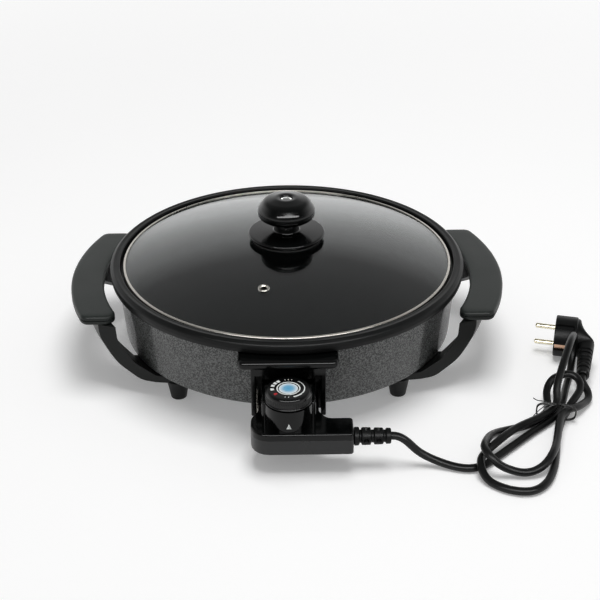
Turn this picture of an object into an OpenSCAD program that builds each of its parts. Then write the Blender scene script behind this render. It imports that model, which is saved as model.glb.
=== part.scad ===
// Round electric skillet: a cast cooking pan in an outer drum, two arched side handles on four feet,
// a glass lid that lifts off, and a thermostat controller that pulls out of the socket at the front.
// Millimetres. +Z is up, -Y is the side of the controller. Radii and heights of the pan are taken
// from its own upright axis, which stands at axis_y.

/* [Pan] */
// Outermost radius of the rim
rim_r = 170; // [164:1:180]
// Height of the rim above the table
rim_z = 95; // [92:1:104]
// Height of the rim's outer band
rim_h = 11; // [10:0.5:12]
// Width of the rim's flat top
rim_w = 9.5; // [8:0.5:12]
// Width of the ledge that carries the lid
ledge_w = 6; // [5:0.5:8]
// Depth of that ledge below the rim
ledge_drop = 8; // [7:0.5:9]
// Depth from the rim to the cooking floor
pan_depth = 55; // [50:1:58]
// Wall of the casting
pan_t = 3.5; // [3:0.5:4]
// Draft of the casting's inner wall, degrees
pan_draft = 4; // [3:0.5:6]
// Radius between the inner wall and the cooking floor
floor_fillet = 12; // [8:1:18]

/* [Drum] */
// Sheet thickness of the drum and the base plate
sheet_t = 1.2; // [0.8:0.1:1.6]
// How far the drum's top edge stands back from the rim, mm
drum_inset = 7; // [4:0.5:9]
// Draft of the drum, degrees
drum_draft = 4.2; // [3:0.2:5]
// Height of the drum's lower edge above the table
floor_gap = 24; // [20:1:26]
// Corner radius of the drum's lower edge
drum_corner = 4; // [3:0.5:6]
// Width of the flange turned in under the drum
flange_w = 10; // [8:1:14]

/* [Heater] */
// Ring radius of the heating tube
heater_ring_r = 105; // [90:1:120]
// Radius of the heating tube
heater_r = 3.3; // [3:0.1:3.5]
// Distance between the two terminal pins
pin_pitch = 36; // [34:0.5:38]
// Radius of a terminal pin
pin_r = 3; // [2.5:0.25:3]
// Length of a terminal pin in front of the socket's back
pin_len = 19; // [15:1:22]
// Bend radius where the heating tube turns to its pins
heater_bend = 14; // [10:1:20]

/* [Lid] */
// Radius of the sphere that the glass is bent to
glass_sphere = 560; // [480:10:700]
// Thickness of the glass
glass_t = 4; // [3:0.5:5]
// Gap all round between the lid and the rim
lid_gap = 3; // [2:0.5:3.5]
// Sheet thickness of the steel band
band_t = 0.8; // [0.6:0.1:1]
// Width of the band's lips over the glass
band_lip = 3.2; // [2.5:0.1:4]
// Distance of the steam eyelet from the centre of the lid
eyelet_dist = 94; // [80:1:110]
// Radius of the eyelet's flange
eyelet_r = 5.6; // [5:0.2:7]
// Radius of the eyelet's hole
eyelet_bore = 2.8; // [2:0.2:3]
// Direction of the eyelet, degrees
eyelet_angle = -103; // [-130:1:-80]

/* [Knob] */
// Radius of the knob's foot on the glass
knob_foot_r = 36.5; // [32:0.5:40]
// Radius of the knob
knob_r = 27; // [23:0.5:29]
// Height of the knob's top above the glass
knob_h = 41; // [38:1:46]
// Height of the knob's head from its underside
knob_head_h = 24; // [20:1:25]
// Radius of the knob's neck
knob_neck_r = 13; // [11:0.5:15]
// Radius of the knob's screw
knob_screw_r = 2.5; // [2:0.25:3]

/* [Handles] */
// Finger gap between the rim and a grip, mm
finger_gap = 7; // [6:0.5:12]
// Width of a grip
grip_w = 31; // [27:0.5:34]
// Half the length of a grip
grip_half = 89; // [78:1:92]
// Height of a grip's top above the table
grip_z = 78; // [74:1:80]
// Thickness of a grip
grip_t = 9; // [8:0.5:11]
// Thickness of the curved bracket under a grip
bracket_t = 12; // [12:0.5:15]
// Width of a bracket's arm where it turns under the pan
arm_w = 20; // [16:1:24]
// From the drum's lower edge in to the middle of a foot, mm
foot_inset = 14.35; // [12:0.05:18]
// Thickness of a bracket's lug over a foot
lug_t = 5; // [4:0.5:7]

/* [Feet] */
// Radius of a foot at the table
foot_r = 7.2; // [6:0.2:9]
// Radius of a foot at its top
foot_top_r = 10.5; // [9.5:0.5:12]

/* [Socket hood] */
// How far the hood stands out past the rim, mm
hood_out = 12; // [10:1:14]
// Width of the hood's top bar
hood_bar_w = 87; // [80:1:94]
// Height of the hood's top bar
hood_bar_h = 8; // [7:0.5:9]
// Width of the hood across its two cheeks
hood_w = 65; // [63:0.5:68]
// Thickness of a cheek
cheek_t = 4.5; // [3.5:0.5:5]
// Height of the cheeks' lower end above the table
cheek_z = 27; // [26:1:30]
// Depth of the lintel under the bar
lintel_h = 12.5; // [11:0.5:13]
// From the drum's top edge to the face that the pins come through, mm
socket_out = 3; // [2.5:0.25:4]

/* [Controller] */
// Gap between the hood's bar and the controller's tower, mm
tower_gap = 0.5; // [0.5:0.25:3]
// How far the controller's front stands out past its tower, mm
body_step = 2.5; // [1.5:0.25:6]
// Height of the controller's underside above the table
body_z = 19; // [17:1:21]
// Height of the controller's lower shell
base_h = 14.5; // [12:0.5:15]
// Height of the controller's body
body_h = 21; // [19:0.5:23]
// Reach of the cable arm to the side
arm_reach = 54.5; // [50:0.5:60]
// Depth of the cable arm, front to back
arm_d = 26; // [25:1:28]
// Half the width of the body's rounded end
body_half = 32.5; // [31:0.5:34]
// Wall of the controller's shells
shell_t = 2; // [1.6:0.1:2.4]
// Height of the tower under the dial, above the body
tower_h = 20; // [18:0.5:20]
// Radius of that tower
tower_r = 20.5; // [20:0.5:22]
// Radius of the dial
dial_r = 19.6; // [18:0.1:20]
// Height of the dial
dial_h = 11; // [9:0.5:13]
// Radius of the temperature probe
probe_r = 3; // [2.5:0.25:3]
// Length of the probe in front of the nose
probe_len = 46; // [35:1:55]

/* [Cord] */
// Diameter of the mains cord
cord_d = 7; // [6.5:0.1:7]
// Length of the strain relief
relief_len = 31.5; // [31.5:0.5:31.5]
// Radius of the plug's head
plug_r = 20; // [20:0.5:20]
// Radius of a plug pin
plug_pin_r = 2.4; // [2.4:0.1:2.4]
// Length of a plug pin
plug_pin_len = 19; // [19:0.5:19]
// Distance between the plug's pins
plug_pitch = 19; // [19:0.5:19]

/* [Fits] */
// Gap between loose parts that rest on each other
rest_gap = 0.3; // [0.2:0.05:0.4]
// Gap around parts that turn or slide in a bore
run_gap = 0.06; // [0.03:0.01:0.09]
// Gap around the nose inside the hood
nose_gap = 2; // [1.5:0.1:2.5]
// Radius of the case screws
screw_r = 1.5; // [1.25:0.25:1.75]
// Radius of the foot screws
foot_screw_r = 2; // [1.75:0.25:2.25]

/* [Hidden] */

$fn = 64;
SIDES = [-1, 1];
EPS = 0.02;

// Pan
lip_r = rim_r - rim_w;
rim_line_r = rim_r - 3.5;
mouth_r = lip_r - ledge_w;
ledge_z = rim_z - ledge_drop;
band_z = rim_z - rim_h;
cook_z = rim_z - pan_depth;
cast_z = cook_z - pan_t;
well_r = mouth_r - (ledge_z - cook_z) * tan(pan_draft);

// Drum: outer radius at a height, and the room inside it
drum_r = rim_r - drum_inset;
function drum_at(z) = drum_r - (band_z - z) * tan(drum_draft);
drum_foot_r = drum_at(floor_gap);
plate_z = floor_gap + sheet_t;
plate_r = drum_foot_r - drum_corner - 0.6;
boss_r = 6;

// Heater: the tube hangs right under the cast floor
heater_z = cast_z - heater_r;
pin_x = pin_pitch / 2;
bend_x = pin_x + heater_bend;
bend_y = sqrt(pow(heater_ring_r + heater_bend, 2) - bend_x * bend_x);
bend_angle = atan2(bend_y, bend_x);
insulator_r = pin_r + 2.2;
insulator_flange_r = insulator_r + 1.3;

// Lid: heights on the glass, and the band that grips its edge
band_r = lip_r - lid_gap;
glass_r = band_r - band_t - 0.1;
band_foot_z = ledge_z + rest_gap;
function cap(r) = sqrt(glass_sphere * glass_sphere - r * r) - glass_sphere;
function under(r) = sqrt(pow(glass_sphere - glass_t, 2) - r * r) - glass_sphere;
apex_z = band_foot_z + band_t + 0.1 - under(glass_r);
function glass_top(r) = apex_z + cap(r);
function glass_bottom(r) = apex_z + under(r);
lip_in_r = band_r - band_lip;

// Knob
knob_top = apex_z + knob_h;
knob_under = knob_top - knob_head_h;
gasket_t = 0.8;
gasket_gap = 0.1;
dimple_r = 7;
dimple_d = 3.5;
screw_head_r = 4.6;
screw_head_h = 2.6;
nut_z = glass_bottom(0) - 6;

// Handles
grip_in_r = rim_r + finger_gap;
grip_reach = grip_in_r + grip_w;
grip_corner = 9;
grip_edge = 3;
grip_under = grip_z - grip_t;
bracket_in_r = grip_in_r + 5.5;
bracket_out_r = bracket_in_r + bracket_t;
lug_z = floor_gap - lug_t;
lug_r = foot_top_r + 1;
grip_screw_angle = 19;
grip_seat = 6;
foot_xy = (drum_foot_r - foot_inset) / sqrt(2);

// Socket hood
hood_reach = rim_r + hood_out;
hood_back = drum_foot_r - 18;
socket_face = drum_r + socket_out;
hood_top = band_z - 0.5;
bar_z = hood_top - hood_bar_h;
cheek_x = hood_w / 2;
lintel_z = bar_z - lintel_h;
cheek_reach = hood_reach - 4;
socket_pin_z = heater_z;

// Controller
dial_dist = hood_reach + tower_gap + tower_r;
body_reach = dial_dist + tower_r + body_step;
nose_face = socket_face + 1;
body_top = body_z + body_h;
seam_z = body_z + base_h;
tower_top = body_top + tower_h;
nose_half = cheek_x - cheek_t - nose_gap;
shoulder_half = nose_half - 3;
dial_z = tower_top + 0.5;
dial_top = dial_z + dial_h;
relief_z = body_z + 10;
relief_y = -body_reach + arm_d / 2;
disc_r = 8.2;
disc_t = 0.6;
shaft_r = 3;
collar_r = 5;
frame_z = seam_z - 8;
block_x = 11;
end_radius = 16;

// The middle of the object from front to back is the origin, so the pan's axis stands behind it.
axis_y = (body_reach - rim_r) / 2;

// Plug: the middle of the face that the pins stand in, the way the pins point, and the cord grip
plug_at = [260, -33, plug_r + 0.1];
plug_turn = 15;
plug_roll = 6;
plug_head_l = 21;
plug_back_l = 17;
plug_shank_r = plug_pin_r - 0.5;
plug_neck = 0.3;
grip_at = 31;
grip_start = 12;
grip_end = 61;

// ---- Outlines -------------------------------------------------------------------------------

function unit(v) = v / norm(v);
function arc(c, r, a0, a1, n = 6) =
    [for (i = [0:n]) let (a = a0 + (a1 - a0) * i / n) c + r * [cos(a), sin(a)]];

// Corners are [x, y, radius], listed anticlockwise. Each corner moves inwards by d and is then
// rounded: an outer corner's radius shrinks by d, an inner corner's grows by d. A corner of
// radius 0 stays sharp, and every other one keeps the same count of points at any d.
function corner_in(a, b, c, d) =
    let (u = unit(b - a), v = unit(c - b), n1 = [-u.y, u.x], n2 = [-v.y, v.x])
    b + d * (n1 + n2) / (1 + n1 * n2);
function outline(corners, d = 0, n = 5) =
    let (
        count = len(corners),
        pts = [for (c = corners) [c[0], c[1]]],
        moved = [for (i = [0:count - 1])
            corner_in(pts[(i + count - 1) % count], pts[i], pts[(i + 1) % count], d)]
    )
    [for (i = [0:count - 1])
        let (
            a = moved[(i + count - 1) % count],
            b = moved[i],
            c = moved[(i + 1) % count],
            u = unit(b - a),
            v = unit(c - b),
            bend = u.x * v.y - u.y * v.x,
            s = bend > 0 ? 1 : -1,
            turn = acos(max(-1, min(1, u * v))),
            r = max(corners[i][2] - s * d, 0.1)
        )
        each (corners[i][2] == 0 ? [b] :
            let (
                p = b - u * r * tan(turn / 2),
                mid = p + s * r * [-u.y, u.x],
                a0 = atan2(p.y - mid.y, p.x - mid.x)
            )
            arc(mid, r, a0, a0 + s * turn, n))];

// ---- Shapes that repeat -----------------------------------------------------------------------

module at_axis() {
    translate([0, axis_y, 0]) children();
}

// A solid skinned over rings of equal point counts, with flat ends. Ends that aren't convex fan out
// from a hub, a point that sees every corner.
module loft(rings, hub = undef) {
    n = len(rings[0]);
    last = len(rings) - 1;
    tip = (last + 1) * n;
    tips = is_undef(hub) ? [] : [for (r = [rings[0], rings[last]]) [hub.x, hub.y, r[0].z]];
    ends = is_undef(hub)
        ? [[for (i = [0:n - 1]) i], [for (i = [n - 1:-1:0]) last * n + i]]
        : [for (i = [0:n - 1])
            let (j = (i + 1) % n)
            each [[tip, i, j], [tip + 1, last * n + j, last * n + i]]];
    polyhedron(
        points = concat([for (r = rings) each r], tips),
        faces = concat(ends, [
            for (k = [0:last - 1]) for (i = [0:n - 1])
                let (j = (i + 1) % n)
                each [[k * n + i, (k + 1) * n + i, (k + 1) * n + j],
                    [k * n + i, (k + 1) * n + j, k * n + j]]
        ])
    );
}

function level(points, z) = [for (p = points) [p.x, p.y, z]];

// A flat moulding whose upper and lower edges are rounded
module pad(corners, z0, z1, low, high, n = 4, hub = undef) {
    loft(concat(
        low > 0 ? [for (i = [0:n - 1]) let (a = 90 * i / n)
            level(outline(corners, low * (1 - sin(a))), z0 + low * (1 - cos(a)))] : [],
        [level(outline(corners), z0 + low), level(outline(corners), z1 - high)],
        high > 0 ? [for (i = [n - 1:-1:0]) let (a = 90 * i / n)
            level(outline(corners, high * (1 - sin(a))), z1 - high * (1 - cos(a)))] : []
    ), hub);
}

module spin(corners, n = 5) {
    rotate_extrude($fn = 128) polygon(outline(corners, 0, n));
}

module along_y(at, length, r) {
    translate(at) rotate([-90, 0, 0]) cylinder(h = length, r = r);
}

module screw(at, r, length, head_r, head_h) {
    translate(at) {
        cylinder(h = head_h, r = head_r);
        translate([0, 0, head_h]) cylinder(h = length - head_h, r = r);
    }
}

module at_feet() {
    for (x = SIDES, y = SIDES) translate([x * foot_xy, y * foot_xy, 0]) children();
}

// ---- Pan, drum and heater ------------------------------------------------------------------------

module cooking_pan() {
    color("#262827") at_axis() {
        spin([
            [0, cast_z, 0],
            [well_r + pan_t, cast_z, floor_fillet + pan_t],
            [mouth_r + pan_t, band_z, 0],
            [rim_r - 0.7, band_z, 0.8],
            [rim_r, band_z + 4, 3],
            [rim_r, rim_z - 2.5, 2.5],
            [rim_line_r, rim_z, 1.5],
            [rim_line_r - 3, rim_z - 0.5, 2],
            [lip_r, rim_z - 0.2, 0.8],
            [lip_r - 0.3, ledge_z, 0.8],
            [mouth_r, ledge_z, 1.5],
            [well_r, cook_z, floor_fillet],
            [0, cook_z, 0]
        ]);
        at_feet() difference() {
            translate([0, 0, plate_z + sheet_t])
                cylinder(h = cast_z + 1 - plate_z - sheet_t, r = boss_r, $fn = 32);
            translate([0, 0, plate_z])
                cylinder(h = cast_z - plate_z, r = foot_screw_r + run_gap, $fn = 32);
        }
    }
}

module socket_holes(depth_from, depth, pin_hole_r, probe_hole_r) {
    for (s = SIDES) along_y([s * pin_x, -depth_from, socket_pin_z], depth, pin_hole_r);
    along_y([0, -depth_from, socket_pin_z], depth, probe_hole_r);
}

module hood_screw_places() {
    for (s = SIDES) translate([s * 7.5, 0, lintel_z - 8]) children();
}

module drum() {
    inner = drum_r - sheet_t;
    color("#5c5e5e") at_axis() difference() {
        spin([
            [drum_foot_r, floor_gap, drum_corner],
            [drum_r, band_z, 0],
            [inner, band_z, 0],
            [drum_foot_r - sheet_t, plate_z, drum_corner - sheet_t],
            [drum_foot_r - flange_w, plate_z, 0],
            [drum_foot_r - flange_w, floor_gap, 0]
        ]);
        socket_holes(drum_r + 2, 14, insulator_r + run_gap, probe_r + 1);
        hood_screw_places() along_y([0, -drum_r - 2, 0], 10, screw_r + run_gap);
        at_feet() translate([0, 0, floor_gap - 1])
            cylinder(h = sheet_t + 2, r = boss_r, $fn = 32);
    }
}

module base_plate() {
    color("#8a8c8e") at_axis() difference() {
        translate([0, 0, plate_z]) cylinder(h = sheet_t, r = plate_r, $fn = 128);
        at_feet() translate([0, 0, plate_z - 1])
            cylinder(h = sheet_t + 2, r = foot_screw_r + run_gap, $fn = 32);
    }
}

// An open ring whose two ends bend outwards and run straight to the terminal pins
module heating_tube() {
    ring_start = -bend_angle;
    ring_end = 180 + bend_angle;
    right = concat(
        [[pin_x, -socket_face + 12], [pin_x, -(socket_face - 12 + bend_y) / 2]],
        arc([bend_x, -bend_y], heater_bend, 180, 180 - bend_angle, 5)
    );
    left = [for (i = [len(right) - 1:-1:0]) [-right[i].x, right[i].y]];
    path = concat(right, [for (i = [1:47])
        let (a = ring_start + (ring_end - ring_start) * i / 48)
        heater_ring_r * [cos(a), sin(a)]], left);
    color("#6f706e") at_axis() tube([for (q = path) [q.x, q.y, heater_z]], heater_r, 16);
}

module terminal_pins() {
    color("#c9c6be") at_axis() for (s = SIDES) {
        along_y([s * pin_x, -socket_face - pin_len + 1, socket_pin_z], pin_len + 11, pin_r);
        translate([s * pin_x, -socket_face - pin_len + 1, socket_pin_z]) rotate([90, 0, 0])
            cylinder(h = 1, r1 = pin_r, r2 = pin_r - 0.8);
    }
}

module pin_insulators() {
    color("#e8e4da") at_axis() for (s = SIDES) difference() {
        union() {
            along_y([s * pin_x, -socket_face + 1, socket_pin_z], 10, insulator_r);
            along_y([s * pin_x, -socket_face - 0.5, socket_pin_z], 1.5, insulator_flange_r);
        }
        along_y([s * pin_x, -socket_face - 1, socket_pin_z], 14, pin_r + EPS);
    }
}

// ---- Socket hood ------------------------------------------------------------------------------------

// The drum's outer surface, which the hood sits against
module drum_solid(extra) {
    translate([0, 0, floor_gap - 2])
        cylinder(h = band_z - floor_gap + 2, r1 = drum_at(floor_gap - 2) + extra,
            r2 = drum_r + extra, $fn = 128);
}

module socket_hood() {
    plate_half = cheek_x - 1;
    color("#0b0b0c") at_axis() difference() {
        union() {
            pad([
                [-hood_bar_w / 2, -hood_reach, 6], [hood_bar_w / 2, -hood_reach, 6],
                [hood_bar_w / 2, -hood_back, 2], [-hood_bar_w / 2, -hood_back, 2]
            ], bar_z, hood_top, 3, 3);
            for (s = SIDES) translate([s * (cheek_x - cheek_t / 2), 0, 0])
                pad([
                    [-cheek_t / 2, -cheek_reach, 1.2], [cheek_t / 2, -cheek_reach, 1.2],
                    [cheek_t / 2, -hood_back - 6, 1], [-cheek_t / 2, -hood_back - 6, 1]
                ], cheek_z, bar_z + 4, 1, 0);
            translate([-plate_half, -cheek_reach, lintel_z + 5])
                cube([2 * plate_half, cheek_reach - hood_back, lintel_h - 3]);
            translate([-plate_half, -cheek_reach + 3, lintel_z])
                cube([2 * plate_half, cheek_reach - 3 - hood_back, 6]);
            translate([-plate_half, -socket_face, cheek_z])
                cube([2 * plate_half, socket_face - hood_back, lintel_z - cheek_z + 1]);
        }
        drum_solid(0.1);
        socket_holes(socket_face + 2, 30, insulator_r + run_gap, probe_r + 0.6);
        socket_holes(socket_face + 0.5, 1.5, insulator_flange_r + run_gap, probe_r + 1);
        hood_screw_places() along_y([0, -socket_face - 1, 0], 30, screw_r + run_gap);
    }
}

module hood_screws() {
    color("#b9bbbd") at_axis() hood_screw_places() {
        along_y([0, -socket_face - 1.2, 0], 1.2, screw_r + 1.5);
        along_y([0, -socket_face, 0], 9, screw_r);
    }
}

// The earth blade lies against the left cheek, where the controller's spring slides along it
module earth_blade() {
    color("#b8b59c") at_axis()
        translate([-cheek_x + cheek_t, -cheek_reach + 2, socket_pin_z - 5])
            cube([0.8, cheek_reach - 2 - socket_face, 12]);
}

// ---- Handles and feet ----------------------------------------------------------------------------------

// The outline of a grip on the +X side, moved inwards by d
function grip_outline(d) =
    let (
        outer = grip_reach - d,
        inner = grip_in_r + d,
        half = grip_half - d,
        rc = grip_corner - d,
        ox = sqrt(pow(outer - rc, 2) - pow(half - rc, 2)),
        oa = atan2(half - rc, ox),
        ix = sqrt(pow(inner + rc, 2) - pow(half - rc, 2)),
        ia = atan2(half - rc, ix)
    )
    concat(
        arc([0, 0], outer, -oa, oa, 14),
        arc([ox, half - rc], rc, oa + (90 - oa) / 5, 90, 4),
        arc([ix, half - rc], rc, 90, 180 + ia, 5),
        [for (i = [1:13]) let (a = ia - 2 * ia * i / 14) inner * [cos(a), sin(a)]],
        arc([ix, -half + rc], rc, 180 - ia, 270, 5),
        arc([ox, -half + rc], rc, 270, 360 - oa - (90 - oa) / 5, 4)
    );

module grip() {
    difference() {
        loft(concat(
            [for (i = [0:2]) let (a = 30 * i)
                level(grip_outline(2 * (1 - sin(a))), grip_under + 2 * (1 - cos(a)))],
            [for (i = [3:-1:0]) let (a = 30 * i)
                level(grip_outline(grip_edge * (1 - sin(a))), grip_z - grip_edge * (1 - cos(a)))]
        ));
        grip_screw_places() translate([0, 0, grip_under - 1])
            cylinder(h = grip_t - 2, r = foot_screw_r + run_gap, $fn = 32);
    }
}

module grip_screw_places() {
    for (s = SIDES) rotate([0, 0, s * grip_screw_angle])
        translate([(bracket_in_r + bracket_out_r) / 2, 0, 0]) children();
}

module grip_right() {
    color("#3e4240") at_axis() grip();
}

module grip_left() {
    color("#3e4240") at_axis() mirror([1, 0, 0]) grip();
}

// A bracket is a curved wall that drops from the grip and turns in under the drum. A slanting
// plane ends it front and back, an arch cut through it leaves two arms, and each arm ends in a
// lug over its foot.
module bracket() {
    end_angle = 18;
    end_reach = grip_half - 5;
    toe_r = drum_foot_r - 8;
    dip_z = lug_z - 2.5;
    difference() {
        union() {
            intersection() {
                rotate([0, 0, -45]) rotate_extrude(angle = 90, $fn = 180)
                    polygon(outline([
                        [toe_r, lug_z, 0],
                        [drum_foot_r + 2, dip_z, 8],
                        [drum_foot_r + 10, dip_z, 9],
                        [bracket_out_r - 11.5, grip_under - 38, 30],
                        [bracket_out_r, grip_under - 12, 40],
                        [bracket_out_r, grip_under, 0],
                        [bracket_in_r, grip_under, 0],
                        [bracket_in_r - 0.5, grip_under - 14, 26],
                        [bracket_in_r - 9.5, floor_gap + 11, 20],
                        [drum_foot_r + 2, floor_gap, 0],
                        [toe_r, floor_gap, 0]
                    ], 0, 6));
                for (s = [0, 1]) mirror([0, s, 0])
                    translate([grip_reach - 24, end_reach, 0]) rotate([0, 0, -end_angle])
                        translate([-grip_reach, -2 * grip_reach, 0])
                            cube([2 * grip_reach, 2 * grip_reach, grip_z]);
            }
            for (s = SIDES) {
                translate([foot_xy, s * foot_xy, lug_z]) cylinder(h = lug_t, r = lug_r);
                intersection() {
                    translate([0, 0, lug_z]) linear_extrude(height = lug_t)
                        polygon([
                            [foot_xy - 4.5, s * (foot_xy - 10.4)],
                            [foot_xy + 4, s * (foot_xy + 10.6)],
                            [foot_xy + 46, s * (foot_xy - 5)],
                            [foot_xy + 46, s * (foot_xy - 5 - arm_w)]
                        ]);
                    translate([0, 0, lug_z - 1]) cylinder(h = lug_t + 2, r = drum_foot_r + 6, $fn = 180);
                }
            }
        }
        // the arch, seen from the side
        translate([toe_r - 30, 0, 0]) rotate([90, 0, 90])
            linear_extrude(height = grip_reach - toe_r + 30)
                polygon(outline([
                    [-grip_half + 5, -10, 0],
                    [grip_half - 5, -10, 0],
                    [grip_half - arm_w + 1, floor_gap - 2, 18],
                    [12, grip_under - 5, 10],
                    [-12, grip_under - 5, 10],
                    [-grip_half + arm_w - 1, floor_gap - 2, 18]
                ]));
        for (s = SIDES) translate([foot_xy, s * foot_xy, 0]) {
            cylinder(h = lug_z, r = foot_top_r + rest_gap);
            cylinder(h = floor_gap + 1, r = foot_screw_r + run_gap, $fn = 32);
        }
        grip_screw_places() {
            translate([0, 0, grip_under - grip_seat - 1])
                cylinder(h = grip_seat + 2, r = foot_screw_r + run_gap, $fn = 32);
            cylinder(h = grip_under - grip_seat, r = 4.2, $fn = 32);
        }
    }
}

module bracket_right() {
    color("#232524") at_axis() bracket();
}

module bracket_left() {
    color("#232524") at_axis() mirror([1, 0, 0]) bracket();
}

module grip_screws() {
    color("#b9bbbd") at_axis() for (x = [0, 1]) mirror([x, 0, 0]) grip_screw_places()
        screw([0, 0, grip_under - grip_seat - 2.6], foot_screw_r, grip_seat + grip_t - 1.5, 3.8, 2.6);
}

// A foot is a truncated cone with a deep counterbore for its screw
module foot() {
    difference() {
        cylinder(h = lug_z, r1 = foot_r, r2 = foot_top_r, $fn = 48);
        translate([0, 0, -1]) cylinder(h = lug_z + 2, r = foot_screw_r + run_gap, $fn = 32);
        translate([0, 0, -1]) cylinder(h = lug_z / 2 + 1, r = 4.2, $fn = 32);
    }
}

module place_foot(x, y) {
    color("#1b1c1c") at_axis() translate([x * foot_xy, y * foot_xy, 0]) foot();
}

module foot_front_left() {
    place_foot(-1, -1);
}

module foot_front_right() {
    place_foot(1, -1);
}

module foot_rear_left() {
    place_foot(-1, 1);
}

module foot_rear_right() {
    place_foot(1, 1);
}

module foot_screws() {
    color("#b9bbbd") at_axis() at_feet()
        screw([0, 0, lug_z / 2 - 2.6], foot_screw_r, cast_z - 1 - lug_z / 2, 3.8, 2.6);
}

// ---- Lid -----------------------------------------------------------------------------------------------

module at_eyelet() {
    rotate([0, 0, eyelet_angle]) translate([eyelet_dist, 0, glass_top(eyelet_dist)])
        rotate([0, asin(eyelet_dist / glass_sphere), 0]) children();
}

module lid_glass() {
    steps = 14;
    radii = [for (i = [0:steps]) glass_r * i / steps];
    color([0.25, 0.27, 0.27, 0.6]) at_axis() difference() {
        rotate_extrude($fn = 128) polygon(concat(
            [for (r = radii) [r, glass_bottom(r)]],
            [for (i = [steps:-1:0]) [radii[i], glass_top(radii[i])]]
        ));
        translate([0, 0, ledge_z]) cylinder(h = 60, r = knob_screw_r + 1.5);
        at_eyelet() translate([0, 0, -2 * glass_t]) cylinder(h = 3 * glass_t, r = eyelet_r - 1.4);
    }
}

// A channel rolled round the edge of the glass, which it grips from above and below
module lid_band() {
    top_out = glass_top(glass_r) + 0.05 + band_t;
    color("#cfcbbf") at_axis() spin([
        [band_r, band_foot_z, 0.4],
        [band_r, top_out, 0.8],
        [lip_in_r, glass_top(lip_in_r) + 0.05 + band_t, 0.3],
        [lip_in_r, glass_top(lip_in_r) + 0.05, 0],
        [band_r - band_t, glass_top(glass_r) + 0.05, 0],
        [band_r - band_t, glass_bottom(glass_r) - 0.05, 0],
        [lip_in_r - 1, glass_bottom(lip_in_r - 1) - 0.05, 0],
        [lip_in_r - 1, band_foot_z + 0.3, 0.2],
        [lip_in_r - 0.5, band_foot_z, 0]
    ], 3);
}

// The eyelet is flanged over the glass from both sides
module steam_eyelet() {
    color("#d8d6d0") at_axis() at_eyelet() spin([
        [eyelet_bore, -glass_t - 1, 0.3],
        [eyelet_r - 0.4, -glass_t - 1, 0.3],
        [eyelet_r - 0.4, -glass_t - 0.1, 0],
        [eyelet_r - 1.6, -glass_t - 0.1, 0],
        [eyelet_r - 1.6, 0.1, 0],
        [eyelet_r, 0.1, 0.2],
        [eyelet_r - 0.6, 1.2, 0.4],
        [eyelet_bore + 0.8, 1.4, 0.6],
        [eyelet_bore, 0.4, 0.4]
    ], 3);
}

gasket_radii = [for (i = [0:3]) knob_screw_r + 1.6 + (knob_foot_r - knob_screw_r - 4.6) * i / 3];

module knob_gasket() {
    color("#1a1a1a") at_axis() rotate_extrude($fn = 128) polygon(concat(
        [for (r = gasket_radii) [r, glass_top(r) + gasket_gap]],
        [for (i = [3:-1:0]) [gasket_radii[i], glass_top(gasket_radii[i]) + gasket_t]]
    ));
}

// The foot of the knob: a shallow dish on the glass with a neck that carries the head
module knob_foot() {
    under_z = apex_z + gasket_t + gasket_gap;
    color("#0a0a0b") at_axis() spin([
        [knob_screw_r + 0.1, under_z, 0],
        for (r = gasket_radii) [r, glass_top(r) + gasket_t + gasket_gap, 0],
        [knob_foot_r - 2.8, glass_top(knob_foot_r - 3) + gasket_t + gasket_gap, 0],
        [knob_foot_r - 2.8, glass_top(knob_foot_r) + 0.4, 0],
        [knob_foot_r, glass_top(knob_foot_r) + 0.4, 0.6],
        [knob_foot_r, apex_z + 2.2, 1.6],
        [knob_foot_r - 8, apex_z + 5.4, 8],
        [knob_neck_r + 3, apex_z + 8, 6],
        [knob_neck_r, knob_under, 0],
        [knob_screw_r + 0.1, knob_under, 0]
    ]);
}

module knob_head() {
    color("#0a0a0b") at_axis() spin([
        [knob_screw_r + 0.1, knob_under + EPS, 0],
        [knob_r - 8, knob_under + EPS, 5],
        [knob_r, knob_under + 5.5, 5],
        [knob_r, knob_under + 12, 8],
        [knob_r - 4, knob_top - 2, 6],
        [dimple_r + 4, knob_top, 12],
        [dimple_r, knob_top - 0.4, 1],
        [screw_head_r + 0.6, knob_top - dimple_d, 1],
        [knob_screw_r + 0.1, knob_top - dimple_d, 0]
    ], 6);
}

module knob_screw() {
    color("#d8d6d0") at_axis() difference() {
        union() {
            spin([
                [0, knob_top - dimple_d + EPS, 0],
                [screw_head_r, knob_top - dimple_d + EPS, 0],
                [screw_head_r, knob_top - dimple_d + 1.2, 0.6],
                [0, knob_top - dimple_d + screw_head_h, 0]
            ]);
            translate([0, 0, nut_z - 1]) cylinder(h = knob_top - dimple_d - nut_z + 1.1, r = knob_screw_r);
        }
        for (a = [0, 90]) rotate([0, 0, a]) translate([-2.4, -0.5, knob_top - dimple_d + 1.2])
            cube([4.8, 1, 3]);
    }
}

module knob_washer() {
    color("#b9bbbd") at_axis() translate([0, 0, nut_z + 4]) difference() {
        cylinder(h = glass_bottom(10) - nut_z - 4 - EPS, r = 10);
        translate([0, 0, -1]) cylinder(h = 12, r = knob_screw_r + 0.1);
    }
}

module knob_nut() {
    color("#b9bbbd") at_axis() translate([0, 0, nut_z]) difference() {
        cylinder(h = 4 - EPS, r = knob_screw_r + 2.2, $fn = 6);
        translate([0, 0, -1]) cylinder(h = 6, r = knob_screw_r + EPS);
    }
}

// ---- Controller --------------------------------------------------------------------------------------------

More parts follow.
